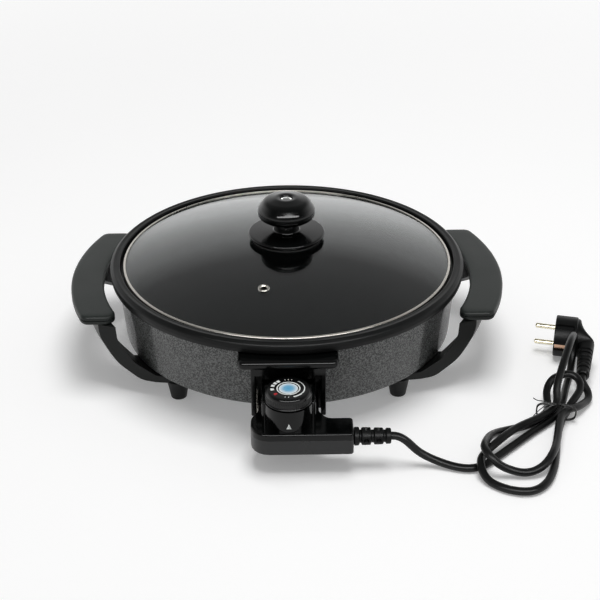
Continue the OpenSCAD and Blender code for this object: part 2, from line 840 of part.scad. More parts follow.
// Plan of the controller's body, moved inwards by d: the nose points to the pan, the cable arm
// to the right, and the left front corner is a wide curve
body_corners = [
    [arm_reach, -body_reach, 3],
    [arm_reach, -body_reach + arm_d, 3],
    [body_half, -body_reach + arm_d, 8],
    [nose_half, -dial_dist + 14, 8],
    [nose_half, -nose_face, 1.5],
    [-nose_half, -nose_face, 1.5],
    [-nose_half, -dial_dist + 16, 14],
    [-body_half, -dial_dist + 4, 14],
    [-body_half, -body_reach, end_radius]
];

body_hub = [nose_half - 6, -body_reach + arm_d - 10];

block_face = nose_face + 0.5;
block_corners = [
    [shoulder_half, -dial_dist - 4, 3],
    [shoulder_half, -block_face, 2],
    [-shoulder_half, -block_face, 2],
    [-shoulder_half, -dial_dist - 4, 3]
];

module body_slice(z, h, d) {
    translate([0, 0, z]) linear_extrude(height = h) polygon(outline(body_corners, d));
}

module block_slice(z, h, d) {
    translate([0, 0, z]) linear_extrude(height = h) polygon(outline(block_corners, d));
}

module at_dial() {
    at_axis() translate([0, -dial_dist, 0]) children();
}

module case_screw_places() {
    for (p = [[arm_reach - 8, -body_reach + arm_d - 7], [-body_half + 9, -dial_dist],
            [nose_half - 7.5, -dial_dist + 8], [10, -body_reach + 6.5]])
        translate([p.x, p.y, 0]) children();
}

module controller_cover() {
    color("#0a0a0b") {
        at_axis() difference() {
            union() {
                pad(body_corners, seam_z, body_top, 0, 2, hub = body_hub);
                pad(block_corners, body_top - shell_t / 2, tower_top, 0, 3);
                translate([0, -dial_dist, body_top - shell_t / 3]) cylinder(h = tower_h + shell_t / 3, r = tower_r);
            }
            body_slice(seam_z - 1, body_h - base_h + 1 - shell_t, shell_t);
            block_slice(seam_z, tower_top - shell_t - seam_z, shell_t);
            translate([0, -dial_dist, seam_z])
                cylinder(h = tower_top - shell_t - seam_z, r = tower_r - shell_t);
            translate([0, -dial_dist, tower_top - shell_t - 1])
                cylinder(h = shell_t + 2, r = collar_r + 0.1);
            nose_holes();
        }
        at_axis() difference() {
            case_screw_places() translate([0, 0, seam_z])
                cylinder(h = body_top - seam_z - 1, r = 3, $fn = 24);
            case_screw_places() translate([0, 0, seam_z - 1])
                cylinder(h = 4.5, r = screw_r + EPS, $fn = 24);
        }
    }
}

module nose_holes() {
    for (s = SIDES) along_y([s * pin_x, -nose_face - shell_t - 1, socket_pin_z], shell_t + 2, pin_r + 1.3);
    along_y([0, -nose_face - shell_t - 1, socket_pin_z], shell_t + 2, probe_r + 0.1);
    for (s = SIDES) translate([s * nose_half - 3, -nose_face - 11, socket_pin_z - 4]) cube([6, 8, 8]);
}

module controller_base() {
    color("#202122") at_axis() difference() {
        union() {
            difference() {
                pad(body_corners, body_z, seam_z - EPS, 1.5, 0, hub = body_hub);
                body_slice(body_z + shell_t, base_h, shell_t);
            }
            case_screw_places() translate([0, 0, body_z + 1])
                cylinder(h = base_h - 1 - EPS, r = 3.4, $fn = 24);
        }
        case_screw_places() {
            translate([0, 0, body_z - 1]) cylinder(h = base_h + 2, r = screw_r + 0.1, $fn = 24);
            translate([0, 0, body_z - 1]) cylinder(h = 3.5, r = 2.6, $fn = 24);
        }
        nose_holes();
        translate([arm_reach - shell_t - 1, relief_y, relief_z]) rotate([0, 90, 0])
            cylinder(h = shell_t + 2, r = 5.2);
    }
}

module controller_screws() {
    color("#b9bbbd") at_axis() case_screw_places()
        screw([0, 0, body_z + 0.6], screw_r, base_h + 2, 2.5, 1.8);
}

module probe_tube() {
    color("#d0cfca") at_axis() {
        along_y([0, -nose_face - 18, socket_pin_z], 18 + probe_len - probe_r, probe_r);
        translate([0, -nose_face + probe_len - probe_r, socket_pin_z]) sphere(r = probe_r, $fn = 48);
    }
}

module pin_sockets() {
    color("#c8a24a") at_axis() for (s = SIDES) difference() {
        along_y([s * pin_x, -nose_face - 22, socket_pin_z], 21, pin_r + 1.2);
        along_y([s * pin_x, -nose_face - 20.5, socket_pin_z], 21, pin_r + run_gap);
    }
}

// The frame stands on the lower shell and guides the dial's spindle in its collar
module thermostat_frame() {
    color("#b4b6b8") at_dial() difference() {
        union() {
            translate([-block_x, -8, frame_z]) cube([2 * block_x, 16, 1.6]);
            for (s = SIDES) translate([s * (block_x - 0.8) - 0.8, -8, body_z + shell_t])
                cube([1.6, 16, body_top - body_z + 8]);
            translate([-block_x, -8, body_top + shell_t + 6]) cube([2 * block_x, 16, 1.6]);
            translate([0, 0, body_top + shell_t + 6])
                cylinder(h = tower_top - body_top - shell_t - 6.5, r = collar_r);
        }
        translate([0, 0, body_top]) cylinder(h = tower_h + 5, r = shaft_r + run_gap);
    }
}

module contact_blades() {
    color("#c9a66a") at_dial() for (i = [0, 1])
        translate([-block_x + 2, -3, frame_z + 5.6 + 4.4 * i])
            cube([2 * block_x - 5, 6, 0.6]);
}

module contact_spacers() {
    color("#e8e4da") at_dial() for (i = [0, 1])
        translate([-block_x + 1.6, -3, frame_z + 1.6 + EPS + 4.6 * i])
            cube([5, 6, 4 - i * 0.2 - 2 * EPS]);
}

module earth_springs() {
    reach = nose_half + nose_gap - 0.9 - 0.2;
    color("#c8a24a") at_axis() mirror([1, 0, 0]) {
        translate([nose_half - shell_t - 0.7, -nose_face - 13, socket_pin_z - 3])
            cube([0.6, 13 - shell_t - 0.2, 6]);
        translate([nose_half - shell_t - 0.7, -nose_face - 9, socket_pin_z - 3])
            cube([reach - nose_half + shell_t + 0.7, 0.6, 6]);
        translate([reach - 0.6, -nose_face - 9, socket_pin_z - 3]) cube([0.6, 4, 6]);
    }
}

module cord_clamp() {
    color("#202122") at_axis() translate([arm_reach - 21, relief_y - 8, body_z + shell_t + EPS])
        difference() {
            cube([6, 16, relief_z - body_z + 3.5]);
            translate([-1, 8, relief_z - body_z - shell_t]) rotate([0, 90, 0])
                cylinder(h = 8, r = cord_d / 2 + 0.1);
        }
}

// ---- Cord and plug ---------------------------------------------------------------------------------------------

// The strain relief: four segments on a core, the two in the middle pierced by slots
module strain_relief() {
    core = cord_d / 2 + 0.9;
    pitch = (relief_len - 3) / 4;
    color("#141414") at_axis() translate([arm_reach, relief_y, relief_z]) rotate([0, 90, 0])
        difference() {
            union() {
                translate([0, 0, -shell_t - 2]) cylinder(h = 2 - 0.1, r = 6.6);
                translate([0, 0, -shell_t - 1]) cylinder(h = relief_len + shell_t + 1, r = core);
                for (i = [0:3]) translate([0, 0, 1.2 + i * pitch])
                    cylinder(h = pitch - 2, r1 = 7.4 - i * 0.35, r2 = 7.2 - i * 0.35);
            }
            translate([0, 0, -shell_t - 3]) cylinder(h = relief_len + shell_t + 2, r = cord_d / 2 - 1);
            for (i = [1, 2]) translate([0, 0, 1.2 + (i + 0.5) * pitch - 1])
                for (a = [0, 90]) rotate([0, 0, a])
                    translate([5.4, 0, 0]) rotate([90, 0, 0]) cylinder(h = 20, r = 1.6, center = true, $fn = 24);
        }
}

// The route, from the strain relief to the plug. It ends where the plug's grip begins.
ROUTE = [
    [86.1, -213, 29], [89, -213, 29], [96, -213.7, 26.8], [109, -215, 15], [124, -218, 7], [139, -223, 4],
    [152, -226, 3.6], [164, -223, 3.6], [175, -214, 3.6], [187, -202, 3.6], [200, -189, 3.6],
    [213, -176, 3.6], [227, -163, 3.6], [239, -151, 4.3], [247, -137, 3.7], [253, -121, 3.6],
    [258, -105, 3.6], [264, -88, 3.8], [269, -73, 6], [272, -63, 14], [273, -59, 26],
    [271, -64, 37], [267, -75, 43], [262, -88, 44], [257, -100, 41], [246, -125, 29],
    [243, -134, 21], [242, -142, 14], [235, -151, 11], [217, -166, 11], [201, -177, 11],
    [185, -193, 11], [175, -203, 9.5], [167, -214, 10], [162, -227, 11], [162, -234, 8.5],
    [166, -243, 4.5], [186, -259, 3.6], [200, -260, 3.6], [212, -251, 3.6], [222, -234, 3.6],
    [229, -212, 3.6], [234, -190, 3.6], [240, -169, 3.7], [247, -152, 4.3], [253, -141, 4.5],
    [257, -135, 7.5], [265, -124, 11], [269, -114, 15], [266, -107, 18.5], [259, -105, 20.5],
    [252, -107, 20.5], [245, -109, 18.5], [240, -113, 14], [237, -122, 9], [236, -136, 5],
    [231, -147, 4.3], [221, -158, 3.7], [198, -169, 4], [185, -177, 6.5], [176, -189, 11.5],
    [168, -209, 18.2], [166, -222, 20], [170, -230, 17.5], [177, -233, 12], [187, -234, 7],
    [200, -235, 5], [213, -231, 7.5], [223, -220, 11], [230, -204, 11], [236, -183, 11],
    [250, -151, 11.4], [260, -143, 9], [270, -131, 5.5], [275.6, -122.5, 5], [276.3, -115, 7.6],
    [273.4, -108, 12], [273.2, -103.6, 13.2], [274.2, -99.7, 13.7]
];

function tangent(p, i) =
    unit(i == 0 ? p[1] - p[0] : i == len(p) - 1 ? p[i] - p[i - 1] :
        unit(p[i + 1] - p[i]) + unit(p[i] - p[i - 1]));

// The side direction at each ring is the one before it, turned as little as the bend asks
function carried(p, i, side) =
    let (t = tangent(p, i), s = side - t * (side * t)) unit(s);
function sides_of(p, i, side) =
    i >= len(p) ? [] : let (s = carried(p, i, side)) concat([s], sides_of(p, i + 1, s));

module tube(p, r, n) {
    side = sides_of(p, 0, [0, 0, 1]);
    loft([for (i = [0:len(p) - 1])
        let (t = tangent(p, i), u = side[i], v = cross(t, u))
        [for (k = [0:n - 1]) let (a = -360 * k / n) p[i] + r * (cos(a) * u + sin(a) * v)]]);
}

module mains_cord() {
    color("#151515") at_axis() tube(ROUTE, cord_d / 2, 8);
}

// A wire tie round the five strands
module cord_tie() {
    half = 18;
    h = 17;
    ring = [[half, -h / 2, 3], [half, h / 2 - 4, 5], [half - 5, h / 2, 5],
        [-half + 5, h / 2, 5], [-half, h / 2 - 4, 5], [-half, -h / 2, 3]];
    color("#0d0d0d") at_axis() translate([240.5, -150, 0.05 + h / 2]) rotate([0, 0, -12])
        rotate([90, 0, 0]) translate([0, 0, -1]) linear_extrude(height = 2) difference() {
            polygon(outline(ring));
            polygon(outline(ring, 0.6));
        }
}

// Plug frame: x along the way the pins point, y towards the cord grip, z up
module at_plug() {
    at_axis() translate(plug_at) rotate([0, 0, 180 - plug_turn]) rotate([-plug_roll, 0, 0]) children();
}

module along_x(at, length, r) {
    translate(at) rotate([0, 90, 0]) cylinder(h = length, r = r);
}

module plug_body() {
    ribs = 6;
    pitch = 5.4;
    color("#121212") at_plug() difference() {
        union() {
            along_x([-plug_head_l, 0, 0], plug_head_l, plug_r);
            translate([-plug_head_l - plug_back_l, 0, 0]) rotate([0, 90, 0])
                cylinder(h = plug_back_l + 0.5, r1 = 10, r2 = plug_r - 3);
            translate([-grip_at, 0, 0]) rotate([-90, 0, 0]) {
                cylinder(h = grip_start + 3, r1 = 9, r2 = 7.5);
                cylinder(h = grip_end, r = cord_d / 2 + 1.4);
                for (i = [0:ribs - 1]) translate([0, 0, grip_start + 4 + i * pitch])
                    cylinder(h = pitch - 1.8, r1 = 7.3 - i * 0.3, r2 = 7.1 - i * 0.3);
            }
        }
        for (s = SIDES) translate([-plug_head_l + 4, s * (plug_r - 1.2) - 3, -3.5])
            cube([plug_head_l - 3, 6, 7]);
        for (s = SIDES) along_x([-11, 0, s * plug_pitch / 2], 12, plug_shank_r + EPS);
    }
}

module plug_pins() {
    color("#d9d2b8") at_plug() for (s = SIDES) translate([0, 0, s * plug_pitch / 2]) {
        along_x([-10, 0, 0], 10.5, plug_shank_r);
        along_x([plug_neck, 0, 0], plug_pin_len - plug_neck - 1.2, plug_pin_r);
        translate([plug_pin_len - 1.2, 0, 0]) rotate([0, 90, 0])
            cylinder(h = 1.2, r1 = plug_pin_r, r2 = plug_pin_r - 1);
    }
}

module plug_earth_clips() {
    color("#c9b8a4") at_plug() for (s = SIDES)
        translate([-plug_head_l + 4.2, s * (plug_r - 3.4) - 0.5, -3])
            cube([plug_head_l - 5.2, 1, 6]);
}

// ---- Dial --------------------------------------------------------------------------------------------------------

// The dial: a knurled skirt under a bevelled top, with a seat for the printed disc
module dial_knob() {
    teeth = 48;
    color("#101011") at_dial() difference() {
        union() {
            translate([0, 0, dial_z]) linear_extrude(height = dial_h * 0.55)
                polygon([for (i = [0:4 * teeth - 1])
                    let (r = dial_r + ((i % 4) < 2 ? 0.2 : -0.4), a = 90 * i / teeth)
                    r * [cos(a), sin(a)]]);
            translate([0, 0, dial_z]) spin([
                [0, dial_h * 0.3, 0],
                [dial_r, dial_h * 0.3, 0],
                [dial_r, dial_h - 2, 1.2],
                [dial_r - 1.8, dial_h, 0.8],
                [0, dial_h, 0]
            ]);
        }
        translate([0, 0, dial_top - disc_t]) cylinder(h = 2, r = disc_r + 0.05);
        translate([0, 0, dial_z - 1]) cylinder(h = dial_h - 3, r = shaft_r + EPS);
        difference() {
            translate([0, 0, dial_z - 1]) cylinder(h = dial_h - 2.5, r = dial_r - 2.4);
            translate([0, 0, dial_z - 2]) cylinder(h = dial_h, r = shaft_r + 2.5);
        }
    }
}

module dial_disc() {
    color("#e9f3f6") at_dial() translate([0, 0, dial_top - disc_t + EPS]) cylinder(h = disc_t, r = disc_r);
}

module dial_shaft() {
    color("#c8a24a") at_dial() translate([0, 0, body_top + 4])
        cylinder(h = dial_z + dial_h - 4.2 - body_top - 4, r = shaft_r);
}

cooking_pan();
drum();
base_plate();
heating_tube();
terminal_pins();
pin_insulators();
socket_hood();
hood_screws();
earth_blade();
grip_left();
grip_right();
bracket_left();
bracket_right();
grip_screws();
foot_front_left();
foot_front_right();
foot_rear_left();
foot_rear_right();
foot_screws();
lid_glass();
lid_band();
steam_eyelet();
knob_foot();
knob_head();
knob_gasket();
knob_screw();
knob_washer();
knob_nut();
controller_cover();
controller_base();
controller_screws();
probe_tube();
pin_sockets();
thermostat_frame();
contact_blades();
contact_spacers();
earth_springs();
cord_clamp();
strain_relief();
mains_cord();
cord_tie();
plug_body();
plug_pins();
plug_earth_clips();
dial_knob();
dial_disc();
dial_shaft();
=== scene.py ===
import math

import bmesh
import bpy
import numpy as np
from mathutils import Matrix, Vector


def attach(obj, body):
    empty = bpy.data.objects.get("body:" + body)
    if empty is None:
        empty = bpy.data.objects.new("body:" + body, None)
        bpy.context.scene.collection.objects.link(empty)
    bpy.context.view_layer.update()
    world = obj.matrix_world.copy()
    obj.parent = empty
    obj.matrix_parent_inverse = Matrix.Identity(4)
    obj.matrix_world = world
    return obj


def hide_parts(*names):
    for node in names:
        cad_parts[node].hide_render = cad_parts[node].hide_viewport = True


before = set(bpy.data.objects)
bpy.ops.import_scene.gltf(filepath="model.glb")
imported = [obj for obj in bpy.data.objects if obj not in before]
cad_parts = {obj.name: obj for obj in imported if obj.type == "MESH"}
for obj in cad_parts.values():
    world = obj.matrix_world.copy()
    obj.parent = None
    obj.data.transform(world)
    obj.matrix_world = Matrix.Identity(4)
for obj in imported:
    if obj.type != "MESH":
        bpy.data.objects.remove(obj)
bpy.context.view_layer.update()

# ---- Camera ----------------------------------------------------------------------------------
# It stands in front of the controller, looks down on the pan's rim at about 27 degrees, and is
# turned, not shifted, to set the skillet left of the middle and leave room for the cord.

MM = 0.001  # a millimetre in metres
AXIS_Y = 28.0  # mm, from the origin back to the pan's upright axis
RIM_Z = 95.0
STAND_OFF = 1.24875  # metres, from the middle of the rim
LENS, SENSOR = 77.388, 36
ROLL, TURN, TIP = 0.0118, 0.009753, 0.035495  # radians
elevation = math.radians(26.71)
camera_back = Vector((0, -math.cos(elevation), math.sin(elevation)))
camera_up = Vector((0, math.sin(elevation), math.cos(elevation)))
camera_aim = (Matrix.Rotation(ROLL, 3, "Z") @ Matrix.Rotation(TURN, 3, "Y")
              @ Matrix.Rotation(TIP, 3, "X"))
camera_lens = bpy.data.cameras.new("camera")
camera_lens.lens = LENS
camera_lens.sensor_width = SENSOR
camera_lens.clip_end = 20
camera = bpy.data.objects.new("camera", camera_lens)
camera_axes = Matrix((Vector((1, 0, 0)), camera_up, camera_back)).transposed()
camera.matrix_world = Matrix.LocRotScale(
    Vector((0, AXIS_Y, RIM_Z)) * MM + camera_back * STAND_OFF,
    (camera_axes @ camera_aim.transposed()).to_quaternion(),
    None,
)
bpy.context.scene.collection.objects.link(camera)
bpy.context.scene.camera = camera

# ---- Mains cord ------------------------------------------------------------------------------
# Round black PVC flex, 7 mm thick and about 1.16 m from relief to plug. It is folded into two
# low loops and one tall one that leans on the plug, and a wire tie holds the five strands.

CORD_D = 7.0
ROUTE = np.array([
    [83, -213, 29], [86.1, -213, 29], [89, -213, 29], [96, -213.7, 26.8], [109, -215, 15],
    [124, -218, 7], [139, -223, 4], [152, -226, 3.6], [164, -223, 3.6], [175, -214, 3.6],
    [187, -202, 3.6], [200, -189, 3.6], [213, -176, 3.6], [227, -163, 3.6], [239, -151, 4.3],
    [247, -137, 3.7], [253, -121, 3.6], [258, -105, 3.6], [264, -88, 3.8], [269, -73, 6],
    [272, -63, 14], [273, -59, 26], [271, -64, 37], [267, -75, 43], [262, -88, 44],
    [257, -100, 41], [246, -125, 29], [243, -134, 21], [242, -142, 14], [235, -151, 11],
    [217, -166, 11], [201, -177, 11], [185, -193, 11], [175, -203, 9.5], [167, -214, 10],
    [162, -227, 11], [162, -234, 8.5], [166, -243, 4.5], [186, -257.8, 3.6], [200, -258.8, 3.6],
    [212, -251, 3.6], [222, -234, 3.6], [229, -212, 3.6], [234, -190, 3.6], [240, -169, 3.7],
    [247, -152, 4.3], [253, -141, 4.5], [257, -135, 7.5], [265, -124, 11], [269, -114, 15],
    [266, -107, 18.5], [259, -105, 20.5], [252, -107, 20.5], [245, -109, 18.5], [240, -113, 14],
    [237, -122, 9], [236, -136, 5], [231, -147, 4.3], [221, -158, 3.7], [198, -169, 4],
    [185, -177, 6.5], [176, -189, 11.5], [168, -209, 18.2], [166, -222, 20], [170, -230, 17.5],
    [177, -233, 12], [187, -234, 7], [200, -235, 5], [213, -231, 7.5], [223, -220, 11],
    [230, -204, 11], [236, -183, 11], [250, -151, 11.4], [260, -143, 9], [270, -131, 5.5],
    [275.6, -122.5, 5], [276.3, -115, 7.6], [273.4, -108, 12], [273.2, -103.6, 13.2],
    [274.2, -99.7, 13.7], [275.6, -94.3, 14.3],
])


def hue(code):
    """Linear red, green, blue and alpha of a paint code such as 3e4240."""
    parts = np.array([int(code[i:i + 2], 16) for i in (0, 2, 4)]) / 255
    linear = np.where(parts < 0.04045, parts / 12.92, ((parts + 0.055) / 1.055) ** 2.4)
    return (*linear.tolist(), 1.0)


def fill(tree, node, sockets):
    """Each named or numbered socket of the node takes a value or another node's output."""
    for name, value in sockets.items():
        if isinstance(value, bpy.types.NodeSocket):
            tree.links.new(value, node.inputs[name])
        else:
            node.inputs[name].default_value = value


def add(tree, kind, sockets=None, **settings):
    """A new shader node of this kind, set up and then filled."""
    made = tree.nodes.new("ShaderNode" + kind)
    for name, value in settings.items():
        setattr(made, name, value)
    fill(tree, made, sockets or {})
    return made


def graded(tree, factor, *stops):
    """A ramp's colour along the factor. Each stop is a place and a colour: the two ends come
    first, and then those between them."""
    made = add(tree, "ValToRGB", {"Fac": factor})
    for count, (place, colour) in enumerate(stops):
        ends = made.color_ramp.elements
        stop = ends[count] if count < 2 else ends.new(place)
        stop.position, stop.color = place, colour
    return made.outputs["Color"]


def object_place(tree):
    """Places in the object's own coordinates."""
    return add(tree, "TexCoord").outputs["Object"]


def finish(name, code, rough, metal=0.0, patch=0.12, patch_mm=22, rub=0.06, grain=0.02,
           grain_mm=0.8, coat=0.0, shine=0.5):
    """A paint or moulding: colour and roughness drift by patch and rub over spots of patch_mm,
    and a fine bump, grain millimetres deep, repeats every grain_mm."""
    made = bpy.data.materials.new(name)
    made.use_nodes = True
    tree = made.node_tree
    place = object_place(tree)

    def noise(size_mm, detail):
        return add(tree, "TexNoise", {"Scale": 1000 / size_mm, "Detail": detail,
                                      "Vector": place}).outputs["Fac"]

    spots = noise(patch_mm, 4)
    low, high = 0.3, 0.7  # nearly all of the noise lies between them
    colour = np.array(hue(code)[:3])
    dark, pale = colour * (1 - patch), np.minimum(colour * (1 + patch), 1)
    sheen = add(tree, "MapRange", {"Value": spots, "From Min": low, "From Max": high,
                                   "To Min": max(rough - rub, 0.02), "To Max": rough + rub})
    surface = tree.nodes["Principled BSDF"]
    fill(tree, surface, {
        "Base Color": graded(tree, spots, (low, (*dark, 1)), (high, (*pale, 1))),
        "Roughness": sheen.outputs["Result"], "Metallic": metal, "Specular IOR Level": shine,
        "Coat Weight": coat, "Coat Roughness": 0.1})
    if grain:
        bump = add(tree, "Bump", {"Distance": grain * MM, "Height": noise(grain_mm, 2)})
        fill(tree, surface, {"Normal": bump.outputs["Normal"]})
    return made


def smooth_line(points, parts):
    """A natural cubic spline through the points, measured along their straight distances: one
    linear system gives the bend at each point, and every gap is cut into equal parts."""
    gaps = np.linalg.norm(np.diff(points, axis=0), axis=1)
    inner = np.arange(1, len(points) - 1)
    system = np.eye(len(points))
    system[inner, inner - 1] = gaps[:-1]
    system[inner, inner] = 2 * (gaps[:-1] + gaps[1:])
    system[inner, inner + 1] = gaps[1:]
    pull = np.zeros_like(points)
    pull[1:-1] = 6 * np.diff(np.diff(points, axis=0) / gaps[:, None], axis=0)
    bend = np.linalg.solve(system, pull)
    gap = np.append(np.repeat(np.arange(len(gaps)), parts), len(gaps) - 1)
    far = np.append(np.tile(np.arange(parts) / parts, len(gaps)), 1.0)[:, None]
    near = 1 - far
    return (near * points[gap] + far * points[gap + 1]
            + ((near**3 - near) * bend[gap] + (far**3 - far) * bend[gap + 1])
            * gaps[gap][:, None] ** 2 / 6)


def metres(points):
    """Millimetres from the pan's axis become metres in the shared frame."""
    return (np.asarray(points, float) + (0, AXIS_Y, 0)) * MM


cord_black = finish("cord_sheath", "0c0d0d", 0.36, patch=0.25, patch_mm=30, rub=0.08,
                    grain=0.03, grain_mm=2.5, shine=0.25)
cord_line = metres(smooth_line(ROUTE, 6))
cord_radius = CORD_D / 2000
TABLE_GAP = 0.00003  # metres left under the cord
cord_line[:, 2] = np.maximum(cord_line[:, 2], cord_radius + TABLE_GAP)
cord_curve = bpy.data.curves.new("mains_cord", "CURVE")
cord_curve.dimensions = "3D"
cord_curve.bevel_depth = cord_radius
cord_curve.bevel_resolution = 6
cord_curve.use_fill_caps = True
cord_run = cord_curve.splines.new("POLY")
cord_run.points.add(len(cord_line) - 1)
cord_run.points.foreach_set("co", np.column_stack([cord_line, np.ones(len(cord_line))]).ravel())
cord_run.use_smooth = True
cord_curve.materials.append(cord_black)
cord = bpy.data.objects.new("cord", cord_curve)
bpy.context.scene.collection.objects.link(cord)
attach(cord, "controller")
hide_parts("mains_cord")

# ---- Strain relief ---------------------------------------------------------------------------
# Moulded on the cord where it leaves the controller's arm: a collar, two thick segments pierced
# from four sides, and a short end segment, with grooves between them so that it bends.

ARM_REACH = 54.5
RELIEF_Y, RELIEF_Z = -213.0, 29.0


def rounded(corners, inset=0.0, steps=6):
    """Corners are x, y and radius, anticlockwise. Each moves inwards by inset along its two
    sides and becomes an arc of steps parts, whose radius the inset shrinks, or grows where the
    line turns the other way."""
    corners = np.asarray(corners, float)
    point = corners[:, :2]
    ahead = np.roll(point, -1, 0) - point
    ahead /= np.linalg.norm(ahead, axis=1, keepdims=True)
    come = np.roll(ahead, 1, 0)
    left = np.stack([-ahead[:, 1], ahead[:, 0]], 1)
    left_in = np.roll(left, 1, 0)
    moved = point + inset * (left + left_in) / (1 + (left * left_in).sum(1, keepdims=True))
    turn = np.arctan2(come[:, 0] * ahead[:, 1] - come[:, 1] * ahead[:, 0],
                      (come * ahead).sum(1))
    side = np.where(turn < 0, -1.0, 1.0)
    radius = np.maximum(corners[:, 2] - side * inset, 0.01)
    start = moved - come * (radius * np.abs(np.tan(turn / 2)))[:, None]
    middle = start + (side * radius)[:, None] * left_in
    first = np.arctan2(start[:, 1] - middle[:, 1], start[:, 0] - middle[:, 0])
    angle = first[:, None] + turn[:, None] * np.linspace(0, 1, steps + 1)
    ring = np.stack([np.cos(angle), np.sin(angle)], -1)
    return (middle[:, None] + radius[:, None, None] * ring).reshape(-1, 2)


def shell(rings, loop=False):
    """Points and faces of a closed skin over rings of equal point counts. The last ring joins
    the first, or a flat face closes each end. Faces are turned outwards by the sign of the
    volume, a third of the sum of each face's area times its distance along its normal."""
    rings = np.asarray(rings, float)
    rows, count = rings.shape[:2]
    row = np.arange(rows if loop else rows - 1)[:, None]
    col = np.arange(count)[None, :]
    row_next, col_next = (row + 1) % rows, (col + 1) % count
    quads = np.stack([row * count + col, row * count + col_next,
                      row_next * count + col_next, row_next * count + col], -1).reshape(-1, 4)
    faces = list(quads)
    if not loop:
        faces += [np.arange(count)[::-1], (rows - 1) * count + np.arange(count)]
    points = metres(rings.reshape(-1, 3))
    centred = points - points.mean(0)
    a, b, c, d = centred[quads].transpose(1, 0, 2)
    volume = (a * np.cross(b, c)).sum() + (a * np.cross(c, d)).sum()
    for end in faces[len(quads):]:
        flat = centred[end]
        volume += (flat[0] * np.cross(flat[1:-1], flat[2:])).sum()
    if volume < 0:
        faces = [face[::-1] for face in faces]
    return points, faces


def placed(name, mesh, coat, body, slot, *nodes):
    """The mesh as an object in this coat. It rides on a body and stands for the nodes. The slot
    is not used."""
    mesh.materials.append(coat)
    made = bpy.data.objects.new(name, mesh)
    bpy.context.scene.collection.objects.link(made)
    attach(made, body)
    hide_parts(*nodes)
    return made


def piece(name, shells, coat, body, slot, *nodes, crease=35):
    """One object of closed shells, smooth except where faces meet at more than crease
    degrees."""
    start, points, faces = 0, [], []
    for shell_points, shell_faces in shells:
        points.append(shell_points)
        faces += [(face + start).tolist() for face in shell_faces]
        start += len(shell_points)
    mesh = bpy.data.meshes.new(name)
    mesh.from_pydata(np.concatenate(points).tolist(), [], faces)
    mesh.polygons.foreach_set("use_smooth", np.ones(len(faces), bool))
    mesh.set_sharp_from_angle(angle=math.radians(crease))
    return placed(name, mesh, coat, body, slot, *nodes)


def circle(count):
    """Equal angles all the way round, as one row."""
    return np.linspace(0, 2 * np.pi, count, endpoint=False)[None, :]


def along_x(line, count):
    """Rings round the X direction: line holds x and radius. Returns x, angle and radius on the
    grid, so that a shape may change the radius before it is placed."""
    line = np.asarray(line, float)
    return np.broadcast_arrays(line[:, :1], circle(count), line[:, 1:])


def evenly(line, gap):
    """The line, whose points may be far apart, cut again so that no step is longer than gap."""
    step = np.linalg.norm(np.diff(line, axis=0), axis=1)
    line = line[np.append(True, step > 1e-3)]
    step = np.linalg.norm(np.diff(line, axis=0), axis=1)
    parts = np.maximum(np.ceil(step / gap).astype(int), 1)
    which = np.append(np.repeat(np.arange(len(step)), parts), len(step) - 1)
    begins = np.concatenate([[0], np.cumsum(parts)])
    far = (np.arange(parts.sum() + 1) - begins[which]) / parts[which]
    far[-1] = 1
    return line[which] + far[:, None] * (line[which + 1] - line[which])


def away(angle, middle):
    """How far an angle lies from a middle one, from -pi to pi."""
    return np.angle(np.exp(1j * (angle - middle)))


moulded_rubber = finish("moulded_rubber", "0e0f0f", 0.38, patch=0.2, patch_mm=12, grain=0.04,
                        grain_mm=0.7, shine=0.16)
relief_profile = evenly(rounded([
    [-3.0, 3.0, 0.2], [32.0, 3.0, 0.2], [32.0, 6.7, 1.2], [27.6, 6.9, 1.0], [27.2, 5.3, 0.5],
    [25.6, 5.3, 0.5], [25.2, 7.1, 1.0], [17.6, 7.3, 1.0], [17.2, 5.5, 0.6], [15.0, 5.5, 0.6],
    [14.6, 7.5, 1.0], [7.0, 7.7, 1.0], [6.6, 5.6, 0.6], [5.2, 5.6, 0.6], [4.8, 7.9, 1.2],
    [0.6, 8.0, 0.8], [0.4, 5.0, 0.4], [-3.0, 5.0, 0.2],
])[7:], 0.45)
relief_x, relief_a, relief_r = along_x(relief_profile, 112)
SEGMENT_R, SLOT_R, SLOT_DEPTH = 7.4, 1.75, 2.9
for slot_x in (10.8, 21.4):
    for slot_a in (0.5 * np.pi, np.pi, 1.5 * np.pi, 0.0):
        gap = away(relief_a, slot_a) * SEGMENT_R
        inside = np.clip(1.35 - np.hypot(gap, relief_x - slot_x) / SLOT_R, 0, 1)
        relief_r = relief_r - np.minimum(inside * 6, SLOT_DEPTH) * (relief_r > 5)
relief_rings = np.stack([
    ARM_REACH + relief_x,
    RELIEF_Y + relief_r * np.cos(relief_a),
    RELIEF_Z + relief_r * np.sin(relief_a),
], -1)
relief = piece("relief_moulding", [shell(relief_rings)], moulded_rubber, "controller",
               "cord_black", "strain_relief", crease=50)

# ---- Wire tie --------------------------------------------------------------------------------
# A coated wire wound twice round the five strands and twisted. Its spare end is bent back into
# a narrow loop that stands off to the left, low over the table.

TIE_AT = np.array([240.5, -150.0, 9.2])
TIE_HALF_W, TIE_HALF_H, TIE_POINTS = 17.4, 8.2, 170
wire_black = finish("tie_coating", "0e0f0f", 0.3, patch=0.2, patch_mm=6, grain=0.02,
                    grain_mm=0.6)


